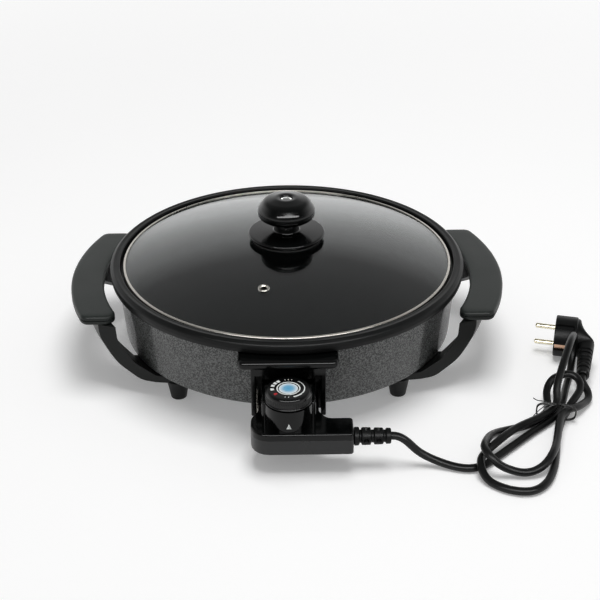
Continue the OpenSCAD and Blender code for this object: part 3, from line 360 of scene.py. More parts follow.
def wire(line, radius, count=10):
    """A tube along a line: its side direction is square to the line and to one fixed upright
    direction that the line never follows."""
    line = np.asarray(line, float)
    ahead = np.gradient(line, axis=0)
    ahead /= np.linalg.norm(ahead, axis=1, keepdims=True)
    side = np.cross(ahead, (0.22, 0.97, 0.1))
    side /= np.linalg.norm(side, axis=1, keepdims=True)
    over = np.cross(ahead, side)
    angle = circle(count)[:, :, None]
    return shell(line[:, None] + radius * (np.cos(angle) * side[:, None]
                                           + np.sin(angle) * over[:, None]))


def eased(value, power):
    """The value's size to a power, with its sign. A power under one flattens a wave's tops."""
    return np.sign(value) * np.abs(value) ** power


tie_turn = np.linspace(0, 4.2 * np.pi, TIE_POINTS)
tie_across = TIE_HALF_W * eased(np.cos(tie_turn), 0.55)
tie_up = TIE_HALF_H * eased(np.sin(tie_turn), 0.62)
tie_slant = math.radians(-12)
tie_along = np.linspace(-1.4, 1.4, TIE_POINTS)
tie_winding = TIE_AT + np.stack([
    tie_across * math.cos(tie_slant) - tie_along * math.sin(tie_slant),
    tie_across * math.sin(tie_slant) + tie_along * math.cos(tie_slant),
    tie_up,
], -1)
tie_loop = smooth_line(TIE_AT + np.array([
    [4, -2.5, 9.0], [-3, -3.0, 9.4], [-9, -2.0, 8.6], [-15, -4.5, 6.4], [-21, -7.5, 2.0],
    [-25, -9.5, -2.0], [-27.5, -10.5, -5.6], [-26, -9.4, -7.4], [-22, -7.4, -5.0],
    [-16, -5.0, 1.4], [-10, -4.4, 6.6], [-4, -3.6, 9.3], [1, -1.0, 9.2],
]), 8)
tie_tail = smooth_line(TIE_AT + np.array([
    [-7, -1.5, 9.0], [-12, 2.0, 10.0], [-17, 6.0, 8.6], [-20, 8.5, 9.4],
]), 6)
tie = piece("wire_tie", [wire(tie_winding, 0.7), wire(tie_loop, 0.42), wire(tie_tail, 0.45)],
            wire_black, "controller", "cord_black", "cord_tie")

# ---- Plug ------------------------------------------------------------------------------------
# A moulded angled plug for two round pins, lying on its side. Its round head has a notch with
# an earth clip on each side and two grooves above and below; behind it the body turns a right
# angle into a ribbed grip on the cord.

PLUG_R = 20.0
PLUG_AT = np.array([260.0, -33.0, PLUG_R + 0.1])
plug_turn = (Matrix.Rotation(math.radians(165), 3, "Z")
             @ Matrix.Rotation(math.radians(-6), 3, "X"))


def in_plug(points):
    """From the plug's own frame, x along its pins, y towards the cord and z up, to the pan's."""
    return np.asarray(points, float) @ np.array(plug_turn).T + PLUG_AT


def ramp(value, low, high):
    """0 below low, 1 above high, and a smooth cubic step between them."""
    t = np.clip((value - low) / (high - low), 0, 1)
    return t * t * (3 - 2 * t)


head_line = evenly(rounded([
    [-24.0, 0.4, 0.1], [-24.0, 14.0, 2.0], [-21.5, 18.2, 1.0], [-20.6, 19.9, 0.8],
    [-0.2, 19.9, 1.0], [0.0, 17.6, 0.5], [0.0, 0.4, 0.1],
][::-1])[7:-7], 0.6)
head_x, head_a, head_r = along_x(head_line, 288)
notch = np.minimum(np.abs(away(head_a, 0)), np.abs(away(head_a, np.pi))) * PLUG_R
notch = ((1 - ramp(notch, 2.9, 3.5)) * (1 - ramp(-head_x, 16.4, 17.0))
         * ramp(head_r, 12.0, 16.0))
groove = np.abs(np.abs(away(2 * head_a, 0)) - math.radians(122)) / 2 * PLUG_R
groove = ((1 - ramp(groove, 2.2, 3.0)) * (1 - ramp(-head_x, 18.2, 19.0))
          * ramp(-head_x, 0.6, 1.4))
NOTCH_DEPTH, GROOVE_DEPTH = 3.6, 2.0
head_r = head_r - NOTCH_DEPTH * notch - GROOVE_DEPTH * groove * ramp(head_r, 15, 18.5)
head_rings = in_plug(np.stack([head_x, head_r * np.cos(head_a), head_r * np.sin(head_a)], -1))

# The elbow's rings turn from the head's back to the grip, and shrink from round to a soft
# rectangle. The grip's rings then carry six ribs.
ELBOW_R, ELBOW_X = 18.4, -20.6
TAIL_W, TAIL_H, TAIL_X, TAIL_Y = 7.6, 8.6, -31.0, 15.0  # half widths and place of its start
elbow = np.linspace(0, 1, 26)[:, None]
grip_far = np.concatenate([np.linspace(TAIL_Y, 58.4, 174), [59.4, 60.0, 60.3]])[:, None]
ring = circle(96)


def soft_box(angle, half_a, half_b, power):
    """A superellipse: both half widths are reached, and a higher power squares its corners."""
    return (half_a * eased(np.cos(angle), 2 / power), half_b * eased(np.sin(angle), 2 / power))


elbow_turn = ramp(elbow, 0.15, 1.0) * np.pi / 2
elbow_side, elbow_up = soft_box(ring, ELBOW_R + (TAIL_W - ELBOW_R) * ramp(elbow, 0, 0.95),
                                ELBOW_R + (TAIL_H - ELBOW_R) * ramp(elbow, 0, 1.0),
                                2 + elbow * 1.2)
elbow_mid_x = ELBOW_X + (TAIL_X - ELBOW_X) * np.sin(elbow * np.pi / 2)
elbow_mid_y = TAIL_Y * (1 - np.cos(elbow * np.pi / 2))
elbow_rings = np.stack([
    elbow_mid_x - elbow_side * np.sin(elbow_turn),
    elbow_mid_y + elbow_side * np.cos(elbow_turn),
    elbow_up,
], -1)
RIB_START, RIB_STEP, RIB_DEPTH = 24, 5.2, 0.16
taper = (grip_far - TAIL_Y) / 45
ribbed = ramp(grip_far, RIB_START - 2, RIB_START) * (1 - ramp(grip_far, 54, 55))
rib_wave = np.cos((grip_far - RIB_START) * 2 * np.pi / RIB_STEP)
thin = 1 - RIB_DEPTH * ribbed * (0.5 - 0.5 * np.tanh(9 * (rib_wave + 0.25)))
close = 1 - 0.25 * ramp(grip_far, 58.2, 60.4)
grip_side, grip_up = soft_box(ring, (TAIL_W - 1.6 * taper) * thin * close,
                              (TAIL_H - 2.2 * taper) * thin * close, 3.2 - 1.0 * taper)
grip_rings = np.stack([TAIL_X - grip_side, grip_far + 0 * grip_side, grip_up], -1)
plug = piece("plug_moulding",
             [shell(head_rings), shell(in_plug(np.concatenate([elbow_rings, grip_rings])))],
             moulded_rubber, "controller", "cord_black", "plug_body", crease=42)

pin_brass = finish("plug_pins_nickel", "e6dfc6", 0.2, metal=1.0, patch=0.08, patch_mm=7,
                   rub=0.07, grain=0.01, grain_mm=0.4)
PIN_R, PIN_LENGTH, PIN_APART = 2.4, 19.0, 19.0
pin_line = evenly(rounded([[-10, 0.1, 0.1], [PIN_LENGTH, 0.1, 0.1], [PIN_LENGTH, PIN_R, 1.5],
                           [-10, PIN_R, 0.2]][::-1], steps=9)[:-20], 1.2)
pin_x, pin_a, pin_r = along_x(pin_line, 40)
pin_shells = [shell(in_plug(np.stack(
    [pin_x, pin_r * np.cos(pin_a), side_z + pin_r * np.sin(pin_a)], -1)))
    for side_z in (-PIN_APART / 2, PIN_APART / 2)]
plug_pins = piece("plug_pins_round", pin_shells, pin_brass, "controller", "brass_strip",
                  "plug_pins")

clip_copper = finish("earth_clip_plate", "caa58c", 0.28, metal=1.0, patch=0.1, patch_mm=5,
                     grain=0.01, grain_mm=0.5)


def dress(coat, *names):
    """The CAD nodes that still show take this finish."""
    for name in names:
        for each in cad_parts[name].material_slots:
            each.material = coat


dress(clip_copper, "plug_earth_clips")

# ---- Cooking pan -----------------------------------------------------------------------------
# Cast aluminium with a black non-stick coating. A thick rolled rim stands round a ledge that
# takes the lid, and the wall runs down with a slight draft to a flat cooking floor.

RIM_R, RIM_LINE_R, LIP_R, MOUTH_R, LEDGE_Z = 170.0, 166.5, 160.5, 154.5, 87.0
WELL_R, BAND_Z, COOK_Z, CAST_Z = 151.2, 84.0, 40.0, 36.5


def around(radius, angle, height, y=0.0):
    """Points at a radius, an angle and a height about an upright axis, which stands at y."""
    return np.stack(np.broadcast_arrays(radius * np.cos(angle), y + radius * np.sin(angle),
                                        height), -1)


def turned(line, count):
    """Rings of a line of radius and height, turned about the pan's upright axis."""
    line = np.asarray(line, float)
    return around(line[:, :1], circle(count), line[:, 1:])


nonstick = finish("nonstick_coating", "101111", 0.4, patch=0.14, patch_mm=26, rub=0.05,
                  grain=0.01, grain_mm=1.1, shine=0.16)
pan_line = evenly(rounded([
    [0.3, CAST_Z, 0.05], [WELL_R + 3.5, CAST_Z, 15.5], [MOUTH_R + 3.5, BAND_Z, 0.4],
    [RIM_R - 0.7, BAND_Z, 0.9], [RIM_R, BAND_Z + 4, 4.0], [RIM_R, RIM_Z - 2.6, 3.2],
    [RIM_LINE_R, RIM_Z, 1.8], [RIM_LINE_R - 3, RIM_Z - 0.5, 2.0], [LIP_R, RIM_Z - 0.3, 1.0],
    [LIP_R - 0.3, LEDGE_Z, 0.9], [MOUTH_R, LEDGE_Z, 1.5], [WELL_R, COOK_Z, 12.0],
    [0.3, COOK_Z, 0.05],
], steps=9)[7:-7], 6.0)
piece("pan_casting", [shell(turned(pan_line, 320))], nonstick, "skillet",
      "nonstick_black", "cooking_pan", crease=50)

# ---- Drum ------------------------------------------------------------------------------------
# The outer wall is drawn from 1.2 mm steel sheet and sprayed in grey hammered paint, which dries
# into small raised cells with light and dark flecks. Its lower edge turns in to hold the base
# plate.

DRUM_R, DRUM_FOOT_R, FLOOR_GAP = 163.0, 158.59, 24.0
hammered = finish("hammered_paint", "616463", 0.34, metal=0.0, patch=0.1, patch_mm=45,
                  rub=0.04, grain=0.0, coat=0.5, shine=0.22)
hammered_tree = hammered.node_tree
hammered_place = object_place(hammered_tree)
cells = add(hammered_tree, "TexVoronoi", {"Scale": 620, "Vector": hammered_place})
specks = add(hammered_tree, "TexNoise", {"Scale": 700, "Detail": 3,
                                         "Vector": hammered_place}).outputs["Fac"]
cell_height = add(hammered_tree, "Math", {0: cells.outputs["Distance"], 1: specks},
                  operation="ADD")
cell_bump = add(hammered_tree, "Bump", {"Strength": 0.9, "Distance": 0.0005,
                                        "Height": cell_height.outputs[0]}, invert=True)
fill(hammered_tree, hammered_tree.nodes["Principled BSDF"], {
    "Normal": cell_bump.outputs["Normal"],
    "Base Color": graded(hammered_tree, specks, (0.42, hue("181a19")), (0.62, hue("747675")))})
drum_line = evenly(rounded([
    [DRUM_FOOT_R, FLOOR_GAP, 4.0], [DRUM_R, BAND_Z, 0.1], [DRUM_R - 1.2, BAND_Z, 0.1],
    [DRUM_FOOT_R - 1.2, FLOOR_GAP + 1.2, 2.8], [DRUM_FOOT_R - 10, FLOOR_GAP + 1.2, 0.3],
    [DRUM_FOOT_R - 10, FLOOR_GAP, 0.3],
]), 4.0)
piece("drum_wall", [shell(turned(drum_line, 320), loop=True)], hammered, "skillet",
      "hammered_grey", "drum", crease=60)

# ---- Grips -----------------------------------------------------------------------------------
# Each side grip is a curved bar of heat-proof plastic: a flat cover with softly rounded edges
# on a lower half, with a fine parting groove between them all the way round.

GRIP_REACH, GRIP_W, GRIP_HALF, GRIP_TOP, GRIP_T = 208.0, 31.0, 89.0, 78.0, 9.0
GRIP_CORNER = 9.0


def grip_ring(inset):
    """Outline of the grip at +X, moved inwards: two arcs about the pan's axis, joined at each
    end by two rounded corners."""
    outer, inner = GRIP_REACH - inset, GRIP_REACH - GRIP_W + inset
    half = GRIP_HALF - inset
    corner = max(GRIP_CORNER - inset, 0.05)
    out_x = math.sqrt((outer - corner) ** 2 - (half - corner) ** 2)
    in_x = math.sqrt((inner + corner) ** 2 - (half - corner) ** 2)
    out_a = math.atan2(half - corner, out_x)
    in_a = math.atan2(half - corner, in_x)

    def arc(x, y, radius, first, last, count):
        angle = np.linspace(first, last, count)
        return np.stack([x + radius * np.cos(angle), y + radius * np.sin(angle)], -1)

    return np.concatenate([
        arc(0, 0, outer, -out_a, out_a, 72)[:-1],
        arc(out_x, half - corner, corner, out_a, np.pi / 2, 12)[:-1],
        arc(in_x, half - corner, corner, np.pi / 2, np.pi + in_a, 14)[:-1],
        arc(0, 0, inner, in_a, -in_a, 56)[:-1],
        arc(in_x, corner - half, corner, np.pi - in_a, 1.5 * np.pi, 14)[:-1],
        arc(out_x, corner - half, corner, 1.5 * np.pi, 2 * np.pi - out_a, 12)[:-1],
    ])


def edge_steps(radius, low, high, upward, count=6):
    """Inset and height of a quarter-round edge between two heights."""
    angle = np.linspace(0, np.pi / 2, count)
    inset = radius * (1 - np.sin(angle))
    rise = (high - low) * (1 - np.cos(angle))
    steps = np.stack([inset, low + rise if upward else high - rise], -1)
    return steps if upward else steps[::-1]


grip_grey = finish("grip_plastic", "252927", 0.4, patch=0.07, patch_mm=40, rub=0.05,
                   grain=0.03, grain_mm=0.9, shine=0.22)
GRIP_LOW = GRIP_TOP - GRIP_T
grip_steps = np.concatenate([
    edge_steps(2.2, GRIP_LOW, GRIP_LOW + 2.2, True),
    [[0.0, GRIP_LOW + 3.6], [0.3, GRIP_LOW + 3.9], [0.9, GRIP_LOW + 4.0],
     [0.9, GRIP_LOW + 4.5], [0.3, GRIP_LOW + 4.6], [0.0, GRIP_LOW + 4.9]],
    edge_steps(2.6, GRIP_TOP - 2.6, GRIP_TOP - 0.25, False),
    [[4.2, GRIP_TOP - 0.12], [6.0, GRIP_TOP - 0.05], [8.5, GRIP_TOP]],
])
grip_rings = np.stack([
    np.column_stack([grip_ring(inset), np.full(len(grip_ring(inset)), z)])
    for inset, z in grip_steps
])
for hand, hand_x in (("right", 1), ("left", -1)):
    piece(f"grip_bar_{hand}", [shell(grip_rings * (hand_x, 1, 1))], grip_grey, "skillet",
          "bakelite_satin", f"grip_{hand}", crease=38)

# ---- Brackets --------------------------------------------------------------------------------
# Under each grip a curved wall of the same plastic, cut by an arch into two arms that turn in
# below the drum and end in lugs over the feet; its colour is darker than the grip's, painted
# shade for where it sits under the grip. Slanting ends close the arms, and a small round breaks
# every edge.

END_X, END_Y, END_SLANT = 184.0, 84.0, math.radians(18)
MERGED, ON_PLANE = 3e-6, 1e-6  # metres between doubles, and off a trimming plane
FLAT = math.radians(0.8)  # the turn between faces that are joined
# Painted shade: the grips' plastic again, coloured darker (151716 against 252927) because the
# brackets sit in the grips' shade.
grip_plastic_in_shade = finish("bracket_plastic_painted_shade", "151716", 0.4, patch=0.08, patch_mm=30, rub=0.05,
                   grain=0.03, grain_mm=0.9, shine=0.2)


def finished_copy(name, node, coat, body, slot, edge_mm, steps=3, angle=32, planes=(),
                  wide=((0, 0, 0), (0, 0, 0)), wide_mm=0.0):
    """The node's mesh with its doubles merged, trimmed by planes, each a point and the way out,
    and its flat faces joined. Edges sharper than the angle are rounded by edge_mm, or by wide_mm
    where they lie between the two corners of wide."""
    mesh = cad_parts[node].data.copy()
    mesh.name = name
    work = bmesh.new()
    work.from_mesh(mesh)
    bmesh.ops.remove_doubles(work, verts=work.verts, dist=MERGED)
    for point, out in planes:
        bmesh.ops.bisect_plane(work, geom=work.verts[:] + work.edges[:] + work.faces[:],
                               dist=ON_PLANE, plane_co=metres(point), plane_no=out,
                               clear_outer=True)
        bmesh.ops.triangle_fill(work, use_beauty=True,
                                edges=[edge for edge in work.edges if edge.is_boundary])
    bmesh.ops.recalc_face_normals(work, faces=work.faces)
    bmesh.ops.dissolve_limit(work, angle_limit=FLAT, verts=work.verts, edges=work.edges)
    for face in work.faces:
        face.smooth = True
    widest = max(edge_mm, wide_mm)
    low, high = metres(wide)
    weight = work.edges.layers.float.new("bevel_weight_edge")
    for edge in work.edges:
        if edge.calc_face_angle(0) > math.radians(angle):
            ends = np.array([vert.co for vert in edge.verts])
            inside = ((ends > low) & (ends < high)).all()
            edge[weight] = (wide_mm if inside else edge_mm) / widest
    work.to_mesh(mesh)
    work.free()
    mesh.materials.clear()
    made = placed(name, mesh, coat, body, slot, node)
    bevel = made.modifiers.new("broken_edges", "BEVEL")
    bevel.width = widest * MM
    bevel.segments = steps
    bevel.limit_method = "WEIGHT"
    weigh = made.modifiers.new("flat_faces", "WEIGHTED_NORMAL")
    weigh.keep_sharp = True
    weigh.weight = 100


for hand, hand_x in (("left", -1), ("right", 1)):
    arm_ends = [((hand_x * END_X, end * END_Y, 0),
                 (hand_x * math.sin(END_SLANT), end * math.cos(END_SLANT), 0))
                for end in (-1, 1)]
    finished_copy(f"bracket_wall_{hand}", f"bracket_{hand}", grip_plastic_in_shade, "skillet",
                  "bakelite_satin", 0.9, planes=arm_ends)

# ---- Feet and their screws -------------------------------------------------------------------
# Four short cones of black rubber-filled plastic under the lugs, worn a little grey where they
# stand. Each has a deep counterbore for its zinc-plated screw.

FOOT_XY, FOOT_R, FOOT_TOP_R, LUG_Z = 102.0, 7.2, 10.5, 19.0
foot_rubber = finish("foot_rubber", "101111", 0.5, patch=0.12, patch_mm=9, rub=0.08,
                     grain=0.05, grain_mm=0.5, shine=0.3)
foot_line = evenly(rounded([
    [4.2, 0.0, 0.5], [FOOT_R, 0.0, 1.3], [FOOT_TOP_R, LUG_Z - 0.03, 0.4],
    [2.2, LUG_Z - 0.03, 0.1], [2.2, 9.5, 0.2], [4.2, 9.5, 0.2],
]), 2.0)
for name, side_x, side_y in (("front_left", -1, -1), ("front_right", 1, -1),
                             ("rear_left", -1, 1), ("rear_right", 1, 1)):
    foot_rings = turned(foot_line, 72) + (side_x * FOOT_XY, side_y * FOOT_XY, 0)
    piece(f"foot_{name}_cone", [shell(foot_rings, loop=True)], foot_rubber, "skillet",
          "foot_rubber", f"foot_{name}", crease=45)

zinc = finish("zinc_plate", "b4b6b8", 0.34, metal=1.0, patch=0.1, patch_mm=5, rub=0.1,
              grain=0.05, grain_mm=0.3)
dress(zinc, "foot_screws", "grip_screws", "hood_screws", "controller_screws")

# ---- Socket hood -----------------------------------------------------------------------------
# One glossy phenolic moulding at the front of the drum. A wide bar tops two thin cheeks, and a
# stepped lintel between them stands over the face that the terminal pins come through.

gloss_black = finish("phenolic_gloss", "040505", 0.13, patch=0.1, patch_mm=35, rub=0.03,
                     grain=0.008, grain_mm=1.5, shine=0.24)
BAR_FRONT = (-46, -186, 60), (46, -177, 90)  # its edges in this space get the wide round
finished_copy("hood_moulding", "socket_hood", gloss_black, "skillet", "bakelite_gloss",
              0.7, steps=4, angle=28, wide=BAR_FRONT, wide_mm=3.0)

# ---- Controller case -------------------------------------------------------------------------
# Two glossy shells, a cover that carries the dial's tower and a plainer lower half, meet at a
# seam. A nose fits between the hood's cheeks and an arm carries the cord to the right.

FRONT_EDGE = (-60, -230, 38.5), (60, -224, 41)  # the same, for the cover
finished_copy("controller_cover_shell", "controller_cover", gloss_black, "controller",
              "bakelite_gloss", 0.5, steps=4, angle=28, wide=FRONT_EDGE, wide_mm=2.3)
case_satin = finish("case_plastic", "1b1c1d", 0.3, patch=0.08, patch_mm=25, rub=0.05,
                    grain=0.03, grain_mm=0.8, shine=0.4)
finished_copy("controller_base_shell", "controller_base", case_satin, "controller",
              "case_satin", 0.35, steps=2, angle=28)

# ---- Dial ------------------------------------------------------------------------------------
# A black knob with a smooth foot ring, a band of fine grip teeth and a bevelled top. Under it
# the spindle runs down into the tower, and a printed disc fills the seat in the middle.

DIAL_Y, DIAL_Z, DIAL_H = -203.0, 60.5, 11.0
TEETH, TOOTH_SWING = 60, 0.22


def dial_shell():
    """Rings about the dial's axis: each row of the line is a radius, a height and its share of
    the teeth. Between the foot ring and the smooth top the radius swings by a fifth of a
    millimetre with the tooth angle, r = r0 + TOOTH_SWING * shape(cos(TEETH * a))."""
    line = np.array([
        [14.0, 0.0, 0], [18.9, 0.0, 0], [19.5, 0.12, 0], [19.9, 0.5, 0], [20.0, 0.95, 0],
        [19.85, 1.4, 0], [19.5, 1.7, 0], [19.3, 1.85, 0], [19.3, 2.0, 1], [19.35, 2.6, 1],
        [19.38, 3.6, 1], [19.4, 4.6, 1], [19.4, 5.6, 1], [19.4, 6.3, 1], [19.3, 6.7, 0.4],
        [19.3, 6.9, 0], [19.42, 7.0, 0], [19.45, 7.6, 0], [19.42, 8.6, 0], [19.25, 9.5, 0],
        [18.9, 10.15, 0], [18.3, 10.65, 0], [17.6, 10.92, 0], [16.8, 11.0, 0], [14.0, 11.0, 0],
        [11.0, 11.0, 0], [8.75, 11.0, 0], [8.42, 10.9, 0], [8.3, 10.7, 0], [8.3, 10.42, 0],
        [8.0, 10.38, 0], [4.0, 10.38, 0],
    ])
    angle = circle(TEETH * 8)
    radius = line[:, :1] + line[:, 2:] * TOOTH_SWING * eased(np.cos(angle * TEETH), 0.5)
    return around(radius, angle, DIAL_Z + line[:, 1:2], DIAL_Y)


dial_black = finish("dial_phenolic", "080909", 0.17, patch=0.1, patch_mm=18, rub=0.05,
                    grain=0.02, grain_mm=1.0, shine=0.3)
piece("dial_body", [shell(dial_shell())], dial_black, "dial", "bakelite_gloss",
      "dial_knob", crease=34)

# ---- Dial marks and disc ---------------------------------------------------------------------
# Marks hot-stamped in white and red paint stand a hair above the dial's top: blocks on the
# left, a tapering arc of heat on the right, and a ring round a plain disc with a blue middle.

DIAL_TOP = DIAL_Z + DIAL_H
MARK_LOW, MARK_HIGH = DIAL_TOP - 0.15, DIAL_TOP + 0.04
BLOCK, STROKE = (12.2, 15.2), (12.9, 14.3)  # inner and outer radius


def mark(inner, outer, first, last, taper=1.0):
    """A closed band about the dial's axis between two radii and two angles in degrees. Its
    width shrinks by the taper from the first angle to the last."""
    count = max(4, int(abs(last - first) / 2.5) + 2)
    angle = np.radians(np.linspace(first, last, count))[:, None]
    half = (outer - inner) / 2 * np.linspace(1, taper, count)[:, None]
    radius = (inner + outer) / 2 + half * (-1, 1, 1, -1)
    height = np.array([MARK_LOW, MARK_LOW, MARK_HIGH, MARK_HIGH])
    return shell(around(radius, angle, height, DIAL_Y))


stamp_white = finish("stamped_white", "e4e8e6", 0.45, patch=0.05, patch_mm=4, rub=0.05,
                     grain=0.03, grain_mm=0.3)
stamp_red = finish("stamped_red", "b3222a", 0.45, patch=0.06, patch_mm=4, rub=0.05,
                   grain=0.03, grain_mm=0.3)
white_marks = [mark(*BLOCK, middle - 6, middle + 6) for middle in (129, 145, 162.5, 186)]
white_marks.append(mark(*STROKE, -72, 54, taper=0.35))
white_marks += [mark(*STROKE, middle - 1.1, middle + 1.1)
                for middle in (78, 90, 102, 258, 270)]
piece("dial_marks", white_marks, stamp_white, "dial", "dial_print", "dial_knob", crease=30)
piece("dial_mark_red", [mark(*BLOCK, 213, 223)], stamp_red, "dial", "dial_print",
      "dial_knob", crease=30)
ring_line = rounded([[9.0, MARK_LOW, 0.01], [10.1, MARK_LOW, 0.01], [10.1, MARK_HIGH, 0.02],
                     [9.0, MARK_HIGH, 0.02]], steps=2)
piece("dial_ring_mark", [shell(turned(ring_line, 96) + (0, DIAL_Y, 0), loop=True)],
      stamp_white, "dial", "dial_print", "dial_knob", crease=30)

disc_line = evenly(rounded([[0.05, DIAL_TOP - 0.6, 0.01], [8.1, DIAL_TOP - 0.6, 0.05],
                            [8.1, DIAL_TOP - 0.08, 0.25], [0.05, DIAL_TOP, 0.01]])[6:-6],
                   0.8)
disc_print = finish("printed_disc", "dfe8ec", 0.3, patch=0.03, patch_mm=6, rub=0.04,
                    grain=0.015, grain_mm=0.5)
disc_tree = disc_print.node_tree
disc_middle = add(disc_tree, "VectorMath", {0: object_place(disc_tree),
                                            1: metres((0, DIAL_Y, DIAL_TOP))},
                  operation="DISTANCE")
fill(disc_tree, disc_tree.nodes["Principled BSDF"], {
    "Base Color": graded(disc_tree, disc_middle.outputs["Value"],
                         (0.0035, hue("4fa3cc")), (0.0062, hue("e3ebee")))})
piece("dial_disc_print", [shell(turned(disc_line, 96) + (0, DIAL_Y, 0))], disc_print,
      "dial", "dial_print", "dial_disc", crease=40)

# ---- Pointer on the tower --------------------------------------------------------------------
# A small white triangle printed on the front of the tower points up at the dial's scale.


def pointer_shell(middle_z=46.6, width=4.2, height=5.0, radius=20.5):
    """A triangle wrapped round the tower's front as a grid of rows, each narrower than the
    last, standing 0.04 mm off the wall."""
    rows, columns = 9, 9
    up = np.linspace(0, 1, rows)[:, None]
    across = np.linspace(-1, 1, columns)[None, :]
    half = 0.5 * width * (1 - up) + 0.04
    angle = -np.pi / 2 + across * half / radius
    z = middle_z - height / 2 + height * up
    front, back = around(radius + 0.04, angle, z, DIAL_Y), around(radius - 0.2, angle, z, DIAL_Y)
    return np.concatenate([front, back[:, ::-1]], 1)


piece("tower_pointer", [shell(pointer_shell())], stamp_white, "controller",
      "dial_print", "controller_cover", crease=30)

# ---- Lid glass -------------------------------------------------------------------------------
# A shallow dome of smoke-tinted tempered glass, 4 mm thick, pierced for the steam eyelet. Both
# faces are cut from spheres about one centre.

SPHERE, GLASS_T, GLASS_R, BAND_FOOT_Z = 560.0, 4.0, 156.6, 87.3
EYELET_DIST, EYELET_ANGLE = 94.0, math.radians(-103)
HOLE_R, GLASS_BEVEL = 4.2, 0.6
APEX_Z = BAND_FOOT_Z + 0.9 + SPHERE - math.sqrt((SPHERE - GLASS_T) ** 2 - GLASS_R**2)


def dome(radius, depth=0.0):
    """Height of the glass at a distance from the axis, depth millimetres under its top."""
    return APEX_Z - SPHERE + np.sqrt((SPHERE - depth) ** 2 - np.asarray(radius, float) ** 2)


def glass_shells():
    """Rings that start as the eyelet's hole and grow into the lid's edge: the centre slides from
    the eyelet to the axis as the radius grows, so no ring crosses another. Heights follow."""
    share = np.concatenate([np.linspace(0, 0.05, 9)[:-1], np.linspace(0.05, 0.97, 58),
                            [0.985, 0.996, 1.0]])[:, None]
    angle = circle(256)
    radius = HOLE_R + (GLASS_R - HOLE_R) * share
    x = (1 - share) * EYELET_DIST * math.cos(EYELET_ANGLE) + radius * np.cos(angle)
    y = (1 - share) * EYELET_DIST * math.sin(EYELET_ANGLE) + radius * np.sin(angle)
    top, low = dome(np.hypot(x, y)), dome(np.hypot(x, y), GLASS_T)
    top[-1] -= GLASS_BEVEL
    low[-1] += GLASS_BEVEL
    return shell(np.concatenate([np.stack([x, y, low], -1), np.stack([x, y, top], -1)[::-1]]),
                 loop=True)


def glass_coat():
    """Grey glass for a 4 mm sheet: a thin clear reflection over a tint that darkens what is seen
    through it, with faint wipe marks in the roughness."""
    made = bpy.data.materials.new("smoked_glass")
    made.use_nodes = True
    tree = made.node_tree
    wipe = add(tree, "TexNoise", {"Scale": 14, "Detail": 5,
                                  "Vector": object_place(tree)}).outputs["Fac"]
    film = add(tree, "MapRange", {"Value": wipe, "From Min": 0.35, "From Max": 0.75,
                                  "To Min": 0.0, "To Max": 0.012})
    tint = graded(tree, wipe, (0.0, hue("a3a9a9")), (1.0, hue("adb3b3")))
    surface = tree.nodes["Principled BSDF"]
    fill(tree, surface, {"Transmission Weight": 1.0, "IOR": 1.54, "Base Color": tint,
                         "Roughness": film.outputs["Result"]})
    clear = add(tree, "BsdfTransparent", {"Color": tint})
    pass_on = add(tree, "MixShader", {0: add(tree, "LightPath").outputs["Is Shadow Ray"],
                                      1: surface.outputs["BSDF"], 2: clear.outputs["BSDF"]})
    fill(tree, tree.nodes["Material Output"], {"Surface": pass_on.outputs["Shader"]})
    return made


smoked = glass_coat()
piece("lid_dome", [glass_shells()], smoked, "lid", "smoked_glass", "lid_glass", crease=50)

# ---- Lid band --------------------------------------------------------------------------------
# Bright stainless strip rolled over the glass's edge, above and below, brushed round and round.

STREAK_SCALE = 5000  # to the metre, so that a streak is a fifth of a millimetre wide


def brushed(name, code, rough):
    """Rolled steel brushed round the axis: a noise drawn out along the angle gives a bump of fine
    rings."""
    made = finish(name, code, rough, metal=1.0, patch=0.05, patch_mm=30, rub=0.05, grain=0.0)
    tree = made.node_tree

    def product(value, scale):
        return add(tree, "Math", {0: value, 1: scale}, operation="MULTIPLY").outputs[0]

    centre = add(tree, "Mapping", {"Vector": object_place(tree),
                                   "Location": (0, -AXIS_Y * MM, 0)})
    x, y, z = add(tree, "SeparateXYZ", {0: centre.outputs["Vector"]}).outputs
    flat = add(tree, "CombineXYZ", {"X": x, "Y": y})
    reach = add(tree, "VectorMath", {0: flat.outputs[0]}, operation="LENGTH")
    angle = add(tree, "Math", {0: y, 1: x}, operation="ARCTAN2")
    polar = add(tree, "CombineXYZ", {
        "X": product(reach.outputs["Value"], STREAK_SCALE),
        "Y": product(angle.outputs[0], 1.2), "Z": product(z, STREAK_SCALE)})
    streak = add(tree, "TexNoise", {"Scale": 1.0, "Detail": 3, "Vector": polar.outputs[0]})
    bump = add(tree, "Bump", {"Distance": 0.00002, "Strength": 0.1,
                              "Height": streak.outputs["Fac"]})
    fill(tree, tree.nodes["Principled BSDF"], {"Normal": bump.outputs["Normal"]})
    return made


band_steel = brushed("band_steel", "d6d2ca", 0.3)
BAND_R, BAND_T, LIP_IN_R = 157.5, 0.8, 155.3
band_line = evenly(rounded([
    [BAND_R, BAND_FOOT_Z, 0.5], [BAND_R, dome(GLASS_R) + 0.85, 0.8],
    [LIP_IN_R, dome(LIP_IN_R) + 0.8, 0.3], [LIP_IN_R, dome(LIP_IN_R) + 0.06, 0.05],
    [BAND_R - BAND_T, dome(GLASS_R) + 0.06, 0.05],
    [BAND_R - BAND_T, dome(GLASS_R, GLASS_T) - 0.06, 0.05],
    [LIP_IN_R - 1, dome(LIP_IN_R - 1, GLASS_T) - 0.06, 0.05],
    [LIP_IN_R - 1, BAND_FOOT_Z + 0.3, 0.2], [LIP_IN_R - 0.5, BAND_FOOT_Z, 0.05],
], steps=5), 1.6)
piece("lid_rim_band", [shell(turned(band_line, 320), loop=True)], band_steel, "lid",
      "bright_steel", "lid_band", crease=40)

# ---- Steam eyelet ----------------------------------------------------------------------------
# A small spun-steel eyelet is riveted through the glass near its front edge to let steam out.

